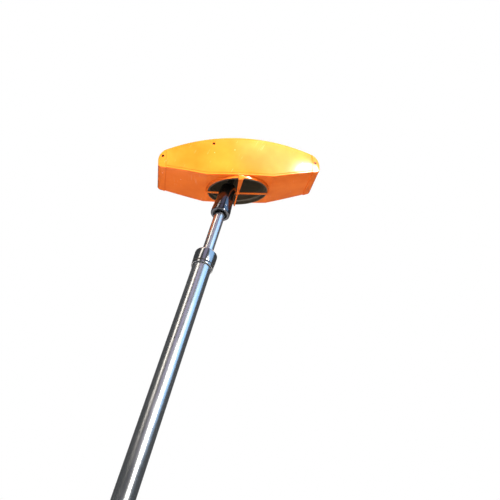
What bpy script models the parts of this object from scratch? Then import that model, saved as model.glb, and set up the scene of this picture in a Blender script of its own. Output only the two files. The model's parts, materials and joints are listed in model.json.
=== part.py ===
"""GNSS receiver head on a telescoping pole.

The pole stands on the origin and runs up +Z. The head's own frame has its origin in the middle of the round
opening, on the belly's middle facet, with X along the head, -Y to its front and Z up through its arch. That
frame hangs from the tilt pin, inside the opening, and leans against the pole.
"""
import math

import bmesh
import bpy
from mathutils import Matrix, Vector

MM = 0.001
GAP = 0.3 * MM

# Head: outline
HALF_LENGTH = 111.0 * MM
HALF_DEPTH = 45.0 * MM
END_HALF_DEPTH = 34.7 * MM
ARCH_TOP = 56.0 * MM
ARCH_RADIUS = 302.0 * MM
CORNER_RADIUS = 18.0 * MM
CROWN = 6.0 * MM
FACET_HALF = 45.5 * MM
BELLY_RISE = 14.3 * MM
PANEL_WALL = 2.6 * MM
SHELL_WALL = 2.4 * MM
CAP_START = 100.7 * MM
CAP_PROUD = 0.5 * MM
CAP_DROP = 0.9 * MM
PANEL_END = CAP_START - GAP

# Head: round opening
RING_OUTER = 43.2 * MM
RING_INNER = 42.0 * MM
RING_DROP = 3.9 * MM
RING_FLANGE = 45.4 * MM
CUP_OUTER = 41.7 * MM
CUP_INNER = 40.4 * MM
CUP_BODY = 40.2 * MM
CUP_BODY_INNER = 38.8 * MM
CUP_LIP = 4.7 * MM
CUP_CEILING = 48.5 * MM
CUP_WALL = 1.5 * MM
SIDE_STRAPS = 3.6 * MM
FRONT_STRAP = 6.4 * MM
REAR_STRAP = 2.0 * MM
STRAP_THICK = 1.4 * MM
STRAP_BOW = 0.5 * MM
HUB_START = 2.2 * MM
HUB_RADIUS = 3.2 * MM

# Head: inside
BULKHEAD_X = 48.5 * MM
BULKHEAD_WALL = 2.0 * MM
BOARD_Z = 22.0 * MM
CELL_RADIUS = 9.2 * MM
CELL_LENGTH = 56.0 * MM

# Tilt joint
PIVOT_DEPTH = 38.6 * MM
TILT = math.radians(24.2)
LEAN_HEADING = math.radians(227.4)
EYE_RADIUS = 6.5 * MM
EYE_HALF = 4.0 * MM
DISC_THICK = 1.0 * MM
EAR_THICK = 3.0 * MM
PIN_RADIUS = 2.5 * MM
NECK_RADIUS = 4.6 * MM
SPIGOT_RADIUS = 2.9 * MM

# Pole: heights above the foot
PIVOT_Z = 800.0 * MM
COLLAR_TOP = 752.2 * MM
COLLAR_FOOT = 699.5 * MM
LOCK_TOP = 628.5 * MM
LOCK_FOOT = 604.6 * MM
LOWER_TUBE_TOP = 610.0 * MM
LOWER_TUBE_FOOT = 30.0 * MM
UPPER_TUBE_TOP = 733.5 * MM
UPPER_TUBE_FOOT = 228.0 * MM
GRIP_FOOT = 85.0 * MM
GRIP_TOP = 205.0 * MM
BRACKET_FOOT = 238.0 * MM
BRACKET_TOP = 252.0 * MM

# Pole: radii
UPPER_TUBE_R = 7.1 * MM
UPPER_TUBE_WALL = 1.0 * MM
LOWER_TUBE_R = 12.1 * MM
LOWER_TUBE_WALL = 1.2 * MM
COLLAR_TOP_R = 10.2 * MM
COLLAR_FOOT_R = 12.5 * MM
COLLAR_BORE = 8.8 * MM
LOCK_R = 14.5 * MM
LOCK_BORE = 12.6 * MM
GRIP_R = 16.5 * MM
GRIP_RIDGES = 6
FOOT_PAD_R = 17.0 * MM

ROUND = 32
MEDIUM_ROUND = 24
PIN_ROUND = 16
SMALL_ROUND = 12
TINY_ROUND = 10


# ---- helpers -------------------------------------------------------------------------------------------

def clear_scene():
    """Empties the scene."""
    for obj in list(bpy.data.objects):
        bpy.data.objects.remove(obj, do_unlink=True)


def material(name, colour, roughness, metallic=0.0):
    """A Principled material of one colour."""
    mat = bpy.data.materials.new(name)
    mat.use_nodes = True
    shader = mat.node_tree.nodes["Principled BSDF"]
    shader.inputs["Base Color"].default_value = (*colour, 1.0)
    shader.inputs["Roughness"].default_value = roughness
    shader.inputs["Metallic"].default_value = metallic
    return mat


def place(obj, parent, matrix):
    """Parents an object and sets its place under that parent."""
    if parent is not None:
        obj.parent = parent
    obj.matrix_local = matrix


def face_outwards(bm):
    """Turns every face of a closed bmesh outwards."""
    bmesh.ops.recalc_face_normals(bm, faces=bm.faces)
    if bm.calc_volume(signed=True) < 0.0:
        bmesh.ops.reverse_faces(bm, faces=bm.faces)


def add(name, bm, mat, parent=None, matrix=Matrix.Identity(4), smooth=35.0):
    """Turns a bmesh into a named object with one material."""
    face_outwards(bm)
    mesh = bpy.data.meshes.new(name)
    bm.to_mesh(mesh)
    bm.free()
    mesh.shade_smooth()
    mesh.set_sharp_from_angle(angle=math.radians(smooth))
    obj = bpy.data.objects.new(name, mesh)
    bpy.context.collection.objects.link(obj)
    if mat is not None:
        mesh.materials.append(mat)
    place(obj, parent, matrix)
    return obj


def cutter(name, bm, parent=None, matrix=Matrix.Identity(4)):
    """A hidden solid that only cuts or joins others."""
    obj = add(name, bm, None, parent, matrix)
    obj.hide_render = True
    obj.display_type = "WIRE"
    return obj


def boolean(obj, other, operation="DIFFERENCE"):
    """Cuts an object with another, or joins that to it."""
    mod = obj.modifiers.new(f"{operation.lower()}_{other.name}", "BOOLEAN")
    mod.operation = operation
    mod.solver = "EXACT"
    mod.object = other


def spun(bm, profile, steps=ROUND):
    """Adds a closed outline of (radius, height) points turned about the Z axis."""
    verts = [bm.verts.new((r, 0.0, z)) for r, z in profile]
    edges = [bm.edges.new((a, b)) for a, b in zip(verts, verts[1:] + verts[:1])]
    bmesh.ops.spin(bm, geom=verts + edges, cent=(0, 0, 0), axis=(0, 0, 1), angle=math.tau,
                   steps=steps, use_merge=True, use_duplicate=False)
    bmesh.ops.remove_doubles(bm, verts=bm.verts, dist=0.00001)
    flat = [e for e in bm.edges if not e.link_faces]
    bmesh.ops.delete(bm, geom=flat, context="EDGES")


def turned(profile, steps=ROUND):
    """A new bmesh of a turned outline."""
    bm = bmesh.new()
    spun(bm, profile, steps)
    return bm


def tube_profile(inner, outer, low, high):
    """The outline of a plain tube."""
    return [(inner, low), (outer, low), (outer, high), (inner, high)]


def rod_profile(radius, low, high):
    """The outline of a plain rod."""
    return [(0.0, low), (radius, low), (radius, high), (0.0, high)]


def rods(places, radius, low, high, steps=SMALL_ROUND):
    """Several upright rods in one bmesh, at (x, y) places."""
    bm = bmesh.new()
    for x, y in places:
        bmesh.ops.create_cone(bm, cap_ends=True, segments=steps, radius1=radius, radius2=radius,
                              depth=high - low, matrix=Matrix.Translation((x, y, (low + high) / 2)))
    return bm


def boxes(*corners):
    """Several upright boxes in one bmesh, each given by its lowest and highest corners."""
    bm = bmesh.new()
    for low, high in corners:
        low, high = Vector(low), Vector(high)
        size = high - low
        move = Matrix.Translation((low + high) / 2) @ Matrix.Diagonal((*size, 1.0))
        bmesh.ops.create_cube(bm, size=1.0, matrix=move)
    return bm


def skin(bm, rings, cap_start=True, cap_end=True):
    """Joins rings of points, all of one length, into a skin and returns its rings of vertices."""
    loops = [[bm.verts.new(point) for point in ring] for ring in rings]
    count = len(loops[0])
    for one, two in zip(loops, loops[1:]):
        for i in range(count):
            j = (i + 1) % count
            bm.faces.new((one[i], one[j], two[j], two[i]))
    if cap_start:
        bm.faces.new(loops[0])
    if cap_end:
        bm.faces.new(loops[-1])
    return loops


def lofted(rings):
    """A new bmesh of a closed loft."""
    bm = bmesh.new()
    skin(bm, rings)
    return bm


def spread(low, high, count):
    """Evenly spaced values from low to high."""
    return [low + (high - low) * i / (count - 1) for i in range(count)]


def arc(centre_r, centre_z, radius, start, end, count):
    """Points of a circular arc in a turned outline, angles in degrees."""
    return [(centre_r + radius * math.cos(math.radians(a)), centre_z + radius * math.sin(math.radians(a)))
            for a in spread(start, end, count)]


# ---- the head's outline --------------------------------------------------------------------------------

PLAN_RADIUS = (HALF_LENGTH ** 2 + (HALF_DEPTH - END_HALF_DEPTH) ** 2) / (2 * (HALF_DEPTH - END_HALF_DEPTH))
CORNER_X = HALF_LENGTH - CORNER_RADIUS
CORNER_Z = ARCH_TOP - ARCH_RADIUS + math.sqrt((ARCH_RADIUS - CORNER_RADIUS) ** 2 - CORNER_X ** 2)
TANGENT_X = CORNER_X * ARCH_RADIUS / (ARCH_RADIUS - CORNER_RADIUS)


def half_depth(x):
    """Half the head's depth, front to back, at a place along it."""
    return HALF_DEPTH - PLAN_RADIUS + math.sqrt(PLAN_RADIUS ** 2 - x ** 2)


def arch(x):
    """Height of the arch's edge: one long arc with a round corner at each end."""
    x = abs(x)
    if x <= TANGENT_X:
        return ARCH_TOP - ARCH_RADIUS + math.sqrt(ARCH_RADIUS ** 2 - x ** 2)
    return CORNER_Z + math.sqrt(max(0.0, CORNER_RADIUS ** 2 - (x - CORNER_X) ** 2))


def belly(x):
    """Height of the belly's underside: a flat facet between two rising ones."""
    return max(0.0, abs(x) - FACET_HALF) * BELLY_RISE / (HALF_LENGTH - FACET_HALF)


def crown(x, y):
    """How far the top shell rises above the arch's edge."""
    across = 1.0 - (y / half_depth(x)) ** 2
    along = 1.0 - (x / (1.25 * HALF_LENGTH)) ** 2
    return CROWN * across * along


def panel_matrix(x, z, side):
    """A frame on the outer face of the front (side -1) or rear (side 1) panel, with Z pointing out."""
    out = Vector((x / PLAN_RADIUS, side * math.sqrt(1.0 - (x / PLAN_RADIUS) ** 2), 0.0))
    up = Vector((0.0, 0.0, 1.0))
    right = up.cross(out)
    turn = Matrix((right, up, out)).transposed().to_4x4()
    return Matrix.Translation((x, side * half_depth(x), z)) @ turn


# ---- the head's outer pieces ---------------------------------------------------------------------------

def panel_stations():
    """Places along the head at which its long pieces change."""
    side = spread(FACET_HALF, PANEL_END, 7)
    middle = spread(-FACET_HALF, FACET_HALF, 9)
    return [-x for x in reversed(side)] + middle[1:-1] + side


def make_panel(name, side, mat, parent):
    """The front or the rear panel: a bowed plate that stands on the belly cover's edge."""
    rings = []
    for x in panel_stations():
        out = side * half_depth(x)
        inner = side * (half_depth(x) - PANEL_WALL)
        low = belly(x) + PANEL_WALL + GAP
        rings.append([(x, out, low), (x, out, arch(x)), (x, inner, arch(x)), (x, inner, low)])
    return add(name, lofted(rings), mat, parent)


def shell_edge(x):
    """Half the width of what fits between the two panels."""
    return half_depth(x) - PANEL_WALL - GAP


def make_top_shell(mat, parent):
    """The arched top shell, a little domed from front to back."""
    rings = []
    for x in panel_stations():
        across = spread(-shell_edge(x), shell_edge(x), 7)
        top = [(x, y, arch(x) + crown(x, y)) for y in across]
        under = [(x, y, z - SHELL_WALL) for x, y, z in reversed(top)]
        rings.append(top + under)
    return add("top_shell", lofted(rings), mat, parent)


def make_belly_cover(mat, parent):
    """The belly cover: a plate in three facets, with the hole for the ring."""
    rings = []
    for x in panel_stations():
        y, low = half_depth(x), belly(x)
        high = low + PANEL_WALL
        rings.append([(x, -y, low), (x, y, low), (x, y, high), (x, -y, high)])
    cover = add("belly_cover", lofted(rings), mat, parent, smooth=5.0)
    hole = cutter("belly_hole", turned(rod_profile(RING_OUTER + GAP, -10 * MM, 10 * MM)), parent)
    boolean(cover, hole)
    return cover


def make_gasket(name, side, mat, parent):
    """The seal along one long edge of the belly cover."""
    width, thick = 1.6 * MM, 1.4 * MM
    rings = []
    for x in panel_stations():
        low = belly(x) + PANEL_WALL + GAP
        outer, inner = side * shell_edge(x), side * (shell_edge(x) - width)
        rings.append([(x, outer, low), (x, inner, low), (x, inner, low + thick), (x, outer, low + thick)])
    add(name, lofted(rings), mat, parent)


def cap_ring(x, wall, side):
    """One ring of an end cap's skin, moved in by the wall's thickness; its crown fades to the tip."""
    deep = half_depth(x) + CAP_PROUD - wall
    low = belly(x) - CAP_DROP
    high = arch(min(x + wall, HALF_LENGTH)) - wall
    foot_round = 4.0 * MM
    into_foot = max(0.0, x + wall - (HALF_LENGTH - foot_round))
    low += wall + foot_round - math.sqrt(max(0.0, foot_round ** 2 - into_foot ** 2))
    fade = (HALF_LENGTH - x) / (HALF_LENGTH - CAP_START)
    scale = half_depth(x) / deep
    top = [(side * x, y, high + fade * crown(x, y * scale)) for y in spread(deep, -deep, 7)]
    return [(side * x, -deep, low), (side * x, deep, low)] + top


def make_end_cap(name, side, mat, parent):
    """An end cap: a shallow cup that closes one end of the head."""
    bm = bmesh.new()
    outside = [CAP_START, CAP_START + 3 * MM, CORNER_X + CORNER_RADIUS * math.sin(math.radians(45)),
               CORNER_X + CORNER_RADIUS * math.sin(math.radians(60)),
               CORNER_X + CORNER_RADIUS * math.sin(math.radians(73)), HALF_LENGTH - 0.15 * MM]
    outside = sorted(outside)
    inside = [CAP_START, CAP_START + 4 * MM, HALF_LENGTH - SHELL_WALL - 1.2 * MM]
    outer = skin(bm, [cap_ring(x, 0.0, side) for x in outside], cap_start=False)
    inner = skin(bm, [cap_ring(x, SHELL_WALL, side) for x in inside], cap_start=False)
    count = len(outer[0])
    for i in range(count):
        j = (i + 1) % count
        bm.faces.new((outer[0][i], outer[0][j], inner[0][j], inner[0][i]))
    return add(name, bm, mat, parent)


def strap(bm, turn, width):
    """One arm of the cross: a flat strap, of a width at the ring, that hooks over it."""
    reach = RING_OUTER + 1.4 * MM
    seat = -CUP_LIP - GAP
    rings = []
    for part in spread(0.0, 1.0, 7):
        x = HUB_START + part * (RING_INNER - HUB_START)
        drop = STRAP_BOW * (1.0 - part ** 2)
        half = (min(width, SIDE_STRAPS) * (1.0 - part) + width * part) / 2
        top, low = seat - drop, seat - drop - STRAP_THICK
        rings.append([(x, -half, top), (x, half, top), (x, half, low), (x, -half, low)])
    hook_top = -GAP
    for x, low in ((RING_INNER + 0.1 * MM, seat - STRAP_THICK), (RING_OUTER + 0.6 * MM, seat - STRAP_THICK),
                   (reach, hook_top - 1.0 * MM)):
        half = width / 2
        rings.append([(x, -half, hook_top), (x, half, hook_top), (x, half, low), (x, -half, low)])
    spare = bmesh.new()
    skin(spare, rings)
    bmesh.ops.rotate(spare, verts=spare.verts, cent=(0, 0, 0), matrix=Matrix.Rotation(turn, 3, "Z"))
    face_outwards(spare)
    mesh = bpy.data.meshes.new("strap")
    spare.to_mesh(mesh)
    spare.free()
    bm.from_mesh(mesh)


def make_rim_cross(mat, parent):
    """The ring round the opening, moulded with its cross of four straps."""
    ring = add("rim_cross", turned(tube_profile(RING_INNER, RING_OUTER, -RING_DROP, PANEL_WALL)), mat, parent)
    inner, riser = RING_INNER + 0.4 * MM, RING_OUTER - 0.3 * MM
    seat, top = PANEL_WALL + GAP, PANEL_WALL + GAP + 1.5 * MM
    outline = [(inner, 1.5 * MM), (riser, 1.5 * MM), (riser, seat), (RING_FLANGE, seat), (RING_FLANGE, top),
               (inner, top)]
    for side, sign in (("left", -1), ("right", 1)):
        lug = lofted([[(sign * x, y, z) for x, z in outline] for y in (-5 * MM, 5 * MM)])
        boolean(ring, cutter(f"ring_lug_{side}", lug, parent), "UNION")
    arms = bmesh.new()
    for i, width in enumerate((SIDE_STRAPS, REAR_STRAP, SIDE_STRAPS, FRONT_STRAP)):
        strap(arms, i * math.pi / 2, width)
    boolean(ring, cutter("cross_arms", arms, parent), "UNION")
    middle = -CUP_LIP - GAP - STRAP_BOW
    hub = rod_profile(HUB_RADIUS, middle - STRAP_THICK - 0.15 * MM, middle + 0.15 * MM)
    boolean(ring, cutter("cross_hub", turned(hub, PIN_ROUND), parent), "UNION")
    return ring


def make_recess_cup(mat, parent):
    """The black cup that lines the opening, with a flared mouth."""
    top = CUP_CEILING + CUP_WALL
    soft = 5.0 * MM
    outer = arc(CUP_BODY - soft, top - soft, soft, 0, 90, 4)
    inner = arc(CUP_BODY_INNER - soft, CUP_CEILING - soft, soft, 90, 0, 4)
    profile = [(CUP_INNER, -CUP_LIP), (CUP_OUTER, -CUP_LIP), (CUP_OUTER, 0.2 * MM), (CUP_BODY, 1.8 * MM)]
    profile += outer + [(0.0, top), (0.0, CUP_CEILING)] + inner
    profile += [(CUP_BODY_INNER, 1.4 * MM), (CUP_INNER, -0.2 * MM)]
    cup = add("recess_cup", turned(profile), mat, parent)
    holes = cutter("cup_screw_holes", rods(clevis_screw_places(), 1.5 * MM, 40 * MM, 60 * MM), parent)
    boolean(cup, holes)
    return cup


# ---- fittings on the panels ----------------------------------------------------------------------------

def small_screws(name, places, side, mat, parent, panels):
    """Small countersunk screws at (x, z, lift) places, each in a hole of its panel."""
    head, shank = 1.7 * MM, 0.9 * MM
    profile = [(0.0, -6 * MM), (shank, -6 * MM), (shank, -2.2 * MM), (head, -0.9 * MM), (head, -0.1 * MM),
               (0.0, -0.1 * MM)]
    for number, ((x, z, lift), panel) in enumerate(zip(places, panels), start=1):
        frame = panel_matrix(x, z, side) @ Matrix.Translation((0, 0, lift))
        add(f"{name}_{number}", turned(profile, TINY_ROUND), mat, parent, frame)
        hole = turned(rod_profile(head + GAP, -4.5 * MM, 2 * MM), TINY_ROUND)
        boolean(panel, cutter(f"{name}_hole_{number}", hole, parent, frame))


def make_power_button(mat, dark, parent, rear):
    """The power button, its hole and the switch behind it."""
    frame = panel_matrix(-62 * MM, 24 * MM, 1)
    radius = 6.0 * MM
    hole = turned(rod_profile(radius + 0.35 * MM, -5 * MM, 5 * MM), MEDIUM_ROUND)
    boolean(rear, cutter("button_hole", hole, parent, frame))
    profile = [(0.0, -4.6 * MM), (7.4 * MM, -4.6 * MM), (7.4 * MM, -2.9 * MM), (radius, -2.9 * MM),
               (radius, 0.7 * MM), (radius - 0.6 * MM, 1.3 * MM), (3.6 * MM, 1.3 * MM), (3.0 * MM, 0.9 * MM),
               (0.0, 0.7 * MM)]
    add("power_button", turned(profile, MEDIUM_ROUND), mat, parent, frame)
    body = boxes(((-4 * MM, -4 * MM, -9.2 * MM), (4 * MM, 4 * MM, -6.2 * MM)))
    add("power_switch", body, dark, parent, frame)


def slot_outline(half_length, radius, low, high):
    """An upright bar with round ends, along X."""
    bm = bmesh.new()
    rim = [(half_length + radius * math.cos(a), radius * math.sin(a))
           for a in spread(-math.pi / 2, math.pi / 2, 7)]
    rim += [(-x, -y) for x, y in rim]
    skin(bm, [[(x, y, z) for x, y in rim] for z in (low, high)])
    return bm


def make_status_lens(mat, parent, rear):
    """The lens over the status lamps, with its slot."""
    frame = panel_matrix(-36 * MM, 24 * MM, 1)
    half, radius = 5.5 * MM, 1.6 * MM
    add("status_lens", slot_outline(half, radius, -3.4 * MM, 0.1 * MM), mat, parent, frame)
    slot = cutter("lens_slot", slot_outline(half, radius + GAP, -5 * MM, 2 * MM), parent, frame)
    boolean(rear, slot)


def make_data_port(metal, dark, rubber, parent, rear):
    """The round data port with its flange and ears, its flat contacts, its hinged cover and its pin."""
    frame = panel_matrix(60 * MM, 24 * MM, 1)
    body_r, bore_r, flange_r = 7.0 * MM, 5.2 * MM, 9.2 * MM
    hinge_y, hinge_z = 11.6 * MM, 3.0 * MM
    hole = turned(rod_profile(body_r + GAP, -6 * MM, 6 * MM), MEDIUM_ROUND)
    boolean(rear, cutter("port_hole", hole, parent, frame))

    profile = [(0.0, -8.5 * MM), (body_r, -8.5 * MM), (body_r, GAP + 0.2 * MM), (flange_r, GAP + 0.2 * MM),
               (flange_r, 1.8 * MM), (bore_r, 1.8 * MM), (bore_r, -1.5 * MM), (0.0, -1.5 * MM)]
    port = add("data_port", turned(profile, MEDIUM_ROUND), metal, parent, frame)
    for side, sign in (("l", -1), ("r", 1)):
        low, high = sorted((sign * 3.3 * MM, sign * 5.4 * MM))
        tab = boxes(((low, 6.5 * MM, 0.6 * MM), (high, 13.7 * MM, 1.7 * MM)))
        boolean(port, cutter(f"port_tab_{side}", tab, parent, frame), "UNION")
        ear = boxes(((low - 0.05 * MM, 9.4 * MM, 1.0 * MM), (high + 0.05 * MM, 13.8 * MM, 4.9 * MM)))
        boolean(port, cutter(f"port_ear_{side}", ear, parent, frame), "UNION")
    across = frame @ Matrix.Translation((0, hinge_y, hinge_z)) @ Matrix.Rotation(math.pi / 2, 4, "Y")
    bore = cutter("port_pin_bore", turned(rod_profile(1.2 * MM, -8 * MM, 8 * MM), TINY_ROUND), parent, across)
    boolean(port, bore)
    pin = turned(rod_profile(0.9 * MM, -5.8 * MM, 5.8 * MM), TINY_ROUND)
    add("port_hinge_pin", pin, metal, parent, across)

    disc = turned(rod_profile(bore_r - GAP, -1.2 * MM, 1.4 * MM), PIN_ROUND)
    insert = add("port_contacts", disc, dark, parent, frame)
    pads = [(0.0, 0.0)] + [(2.9 * MM * math.cos(a), 2.9 * MM * math.sin(a))
                           for a in spread(math.radians(45), math.radians(315), 4)]
    for number, (x, y) in enumerate(pads, start=1):
        pad = rods([(x, y)], 0.8 * MM, 1.0 * MM, 1.7 * MM, TINY_ROUND)
        boolean(insert, cutter(f"contact_{number}", pad, parent, frame), "UNION")

    hinge = bpy.data.objects.new("cover_hinge", None)
    bpy.context.collection.objects.link(hinge)
    place(hinge, parent, across)
    back = across.inverted() @ frame
    cap = [(0.0, 2.2 * MM), (8.8 * MM, 2.2 * MM), (8.8 * MM, 3.8 * MM), (8.2 * MM, 4.4 * MM), (0.0, 4.4 * MM)]
    cover = add("port_cover", turned(cap, MEDIUM_ROUND), rubber, hinge, back)
    neck = boxes(((-2.9 * MM, 6.0 * MM, 2.2 * MM), (2.9 * MM, hinge_y, 4.2 * MM)))
    boolean(cover, cutter("cover_neck", neck, hinge, back), "UNION")
    knuckle = turned(rod_profile(2.1 * MM, -2.9 * MM, 2.9 * MM), PIN_ROUND)
    boolean(cover, cutter("cover_knuckle", knuckle, hinge), "UNION")
    boolean(cover, bore)


# ---- the tilt joint ------------------------------------------------------------------------------------

TILT_AXIS = Vector((math.sin(LEAN_HEADING + math.pi), -math.cos(LEAN_HEADING + math.pi), 0.0))
AXIS_TURN = math.atan2(TILT_AXIS.y, TILT_AXIS.x)


def pin_frame(height):
    """A frame at a height on the Z axis, whose X runs along the tilt pin."""
    return Matrix.Translation((0, 0, height)) @ Matrix.Rotation(AXIS_TURN, 4, "Z")


def along_pin(height):
    """A frame on the tilt pin, whose Z runs along it."""
    return pin_frame(height) @ Matrix.Rotation(math.pi / 2, 4, "Y")


def clevis_screw_places():
    """The two clevis screws, as (x, y) in the head's frame."""
    turn = Matrix.Rotation(AXIS_TURN, 2)
    return [tuple(turn @ Vector((along, 0.0))) for along in (-13 * MM, 13 * MM)]


def make_clevis(mat, steel, nylon, parent):
    """The clevis bracket under the cup's ceiling, its pin, friction discs and screws."""
    inner = EYE_HALF + GAP + DISC_THICK + GAP
    outer = inner + EAR_THICK
    base_top = CUP_CEILING - GAP
    base_low = base_top - 2.0 * MM
    frame = pin_frame(0.0)
    base = boxes(((-16.5 * MM, -12 * MM, base_low), (16.5 * MM, 12 * MM, base_top)))
    bracket = add("clevis_bracket", base, mat, parent, frame)
    for sign in (-1, 1):
        side = "l" if sign < 0 else "r"
        low, high = sorted((sign * inner, sign * outer))
        rim = arc(0.0, 0.0, 6.5 * MM, 180, 360, 9)
        rim += [(6.5 * MM, base_low + 1.0 * MM - PIVOT_DEPTH), (-6.5 * MM, base_low + 1.0 * MM - PIVOT_DEPTH)]
        ear = lofted([[(x, y, z) for y, z in rim] for x in (low, high)])
        boolean(bracket, cutter(f"ear_{side}", ear, parent, pin_frame(PIVOT_DEPTH)), "UNION")
    bore = turned(rod_profile(PIN_RADIUS + GAP, -20 * MM, 20 * MM), PIN_ROUND)
    boolean(bracket, cutter("clevis_bore", bore, parent, along_pin(PIVOT_DEPTH)))
    holes = rods(clevis_screw_places(), 1.5 * MM, 40 * MM, 60 * MM)
    boolean(bracket, cutter("clevis_screw_holes", holes, parent))

    head_at = outer + GAP
    pin = [(0.0, -head_at - 1.6 * MM), (4.2 * MM, -head_at - 1.6 * MM), (4.2 * MM, -head_at),
           (PIN_RADIUS, -head_at), (PIN_RADIUS, head_at), (4.2 * MM, head_at), (4.2 * MM, head_at + 1.6 * MM),
           (0.0, head_at + 1.6 * MM)]
    add("tilt_pin", turned(pin, PIN_ROUND), steel, parent, along_pin(PIVOT_DEPTH))

    for name, sign in (("friction_disc_left", -1), ("friction_disc_right", 1)):
        low, high = sorted((sign * (EYE_HALF + GAP), sign * (EYE_HALF + GAP + DISC_THICK)))
        disc = turned(tube_profile(PIN_RADIUS + GAP, 6.0 * MM, low, high), PIN_ROUND)
        add(name, disc, nylon, parent, along_pin(PIVOT_DEPTH))

    screw = [(0.0, base_low - 1.7 * MM), (2.4 * MM, base_low - 1.7 * MM), (2.4 * MM, base_low - GAP),
             (1.2 * MM, base_low - GAP), (1.2 * MM, CUP_CEILING + CUP_WALL - GAP),
             (0.0, CUP_CEILING + CUP_WALL - GAP)]
    for name, (x, y) in zip(("clevis_screw_left", "clevis_screw_right"), clevis_screw_places()):
        add(name, turned(screw, SMALL_ROUND), steel, parent, Matrix.Translation((x, y, 0.0)))


def make_tilt_neck(mat, parent):
    """The neck: an eye on the tilt pin, a rod down to the collar and a spigot inside that."""
    rod = [(0.0, COLLAR_TOP - PIVOT_Z - 11 * MM), (SPIGOT_RADIUS, COLLAR_TOP - PIVOT_Z - 11 * MM),
           (SPIGOT_RADIUS, COLLAR_TOP - PIVOT_Z + GAP), (NECK_RADIUS, COLLAR_TOP - PIVOT_Z + GAP),
           (NECK_RADIUS, -EYE_RADIUS - 1.2 * MM), (EYE_HALF - 0.2 * MM, -EYE_RADIUS - 0.2 * MM),
           (EYE_HALF - 0.2 * MM, 0.0), (0.0, 0.0)]
    neck = add("tilt_neck", turned(rod, PIN_ROUND), mat, parent)
    eye = turned(rod_profile(EYE_RADIUS, -EYE_HALF, EYE_HALF), PIN_ROUND)
    boolean(neck, cutter("neck_eye", eye, parent, along_pin(0.0)), "UNION")
    bore = turned(rod_profile(PIN_RADIUS + GAP, -20 * MM, 20 * MM), PIN_ROUND)
    boolean(neck, cutter("neck_bore", bore, parent, along_pin(0.0)))


# ---- inside the head -----------------------------------------------------------------------------------

def make_bulkheads(mat, parent):
    """Two upright plates that stiffen the head beside the cup."""
    for name, sign in (("bulkhead_left", -1), ("bulkhead_right", 1)):
        low_x, high_x = sorted((sign * BULKHEAD_X, sign * (BULKHEAD_X + BULKHEAD_WALL)))
        deep = shell_edge(BULKHEAD_X + BULKHEAD_WALL) - 2.0 * MM
        low = belly(BULKHEAD_X + BULKHEAD_WALL) + PANEL_WALL + 2.2 * MM
        high = arch(BULKHEAD_X + BULKHEAD_WALL) - SHELL_WALL - 2 * GAP
        add(name, boxes(((low_x, -deep, low), (high_x, deep, high))), mat, parent)


def make_antenna(ground, ceramic, parent):
    """The antenna's ground plane and its patch, over the cup."""
    low = CUP_CEILING + CUP_WALL + GAP
    add("antenna_ground", turned(rod_profile(36 * MM, low, low + 1.0 * MM)), ground, parent)
    half = 24 * MM
    floor = low + 1.0 * MM + GAP
    add("patch_antenna", boxes(((-half, -half, floor), (half, half, floor + 4 * MM))), ceramic, parent)


def make_electronics(board, can, chip, brass, parent):
    """The main board on its standoffs, with the shielded receiver and the radio module."""
    thick = 1.6 * MM
    low_x, high_x, deep = 53 * MM, 97 * MM, 29 * MM
    add("main_board", boxes(((low_x, -deep, BOARD_Z), (high_x, deep, BOARD_Z + thick))), board, parent)
    on_board = BOARD_Z + thick + GAP
    lid = boxes(((57 * MM, -14 * MM, on_board), (79 * MM, 12 * MM, on_board + 4 * MM)))
    add("shield_can", lid, can, parent)
    add("radio_module", boxes(((83 * MM, -10 * MM, on_board), (95 * MM, 14 * MM, on_board + 3 * MM))),
        chip, parent)
    for name, x in (("board_rail_inner", 58 * MM), ("board_rail_outer", 91 * MM)):
        low = belly(x + 2 * MM) + PANEL_WALL + GAP
        rail = boxes(((x - 2 * MM, -26 * MM, low), (x + 2 * MM, 26 * MM, BOARD_Z - GAP)))
        add(name, rail, brass, parent)


def make_battery(tray, cell, parent):
    """The battery: a tray with two end walls and two round cells."""
    low_x, high_x = -92 * MM, -52 * MM
    floor = belly(92 * MM) + PANEL_WALL + GAP
    inner = CELL_LENGTH / 2 + GAP
    wall = 2.0 * MM
    plate = boxes(((low_x, -inner - wall, floor), (high_x, inner + wall, floor + 1.6 * MM)))
    holder = add("battery_holder", plate, tray, parent)
    for sign in (-1, 1):
        low_y, high_y = sorted((sign * inner, sign * (inner + wall)))
        end = boxes(((low_x, low_y, floor + 0.5 * MM), (high_x, high_y, floor + 11 * MM)))
        boolean(holder, cutter(f"holder_end_{'f' if sign < 0 else 'r'}", end, parent), "UNION")
    centre_z = floor + 1.6 * MM + GAP + CELL_RADIUS
    lay = Matrix.Rotation(math.pi / 2, 4, "X")
    for name, x in (("battery_cell_outer", -82.2 * MM), ("battery_cell_inner", -62.6 * MM)):
        can = rod_profile(CELL_RADIUS, -CELL_LENGTH / 2, CELL_LENGTH / 2)
        add(name, turned(can, MEDIUM_ROUND), cell, parent, Matrix.Translation((x, 0.0, centre_z)) @ lay)


# ---- the pole ------------------------------------------------------------------------------------------

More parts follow.
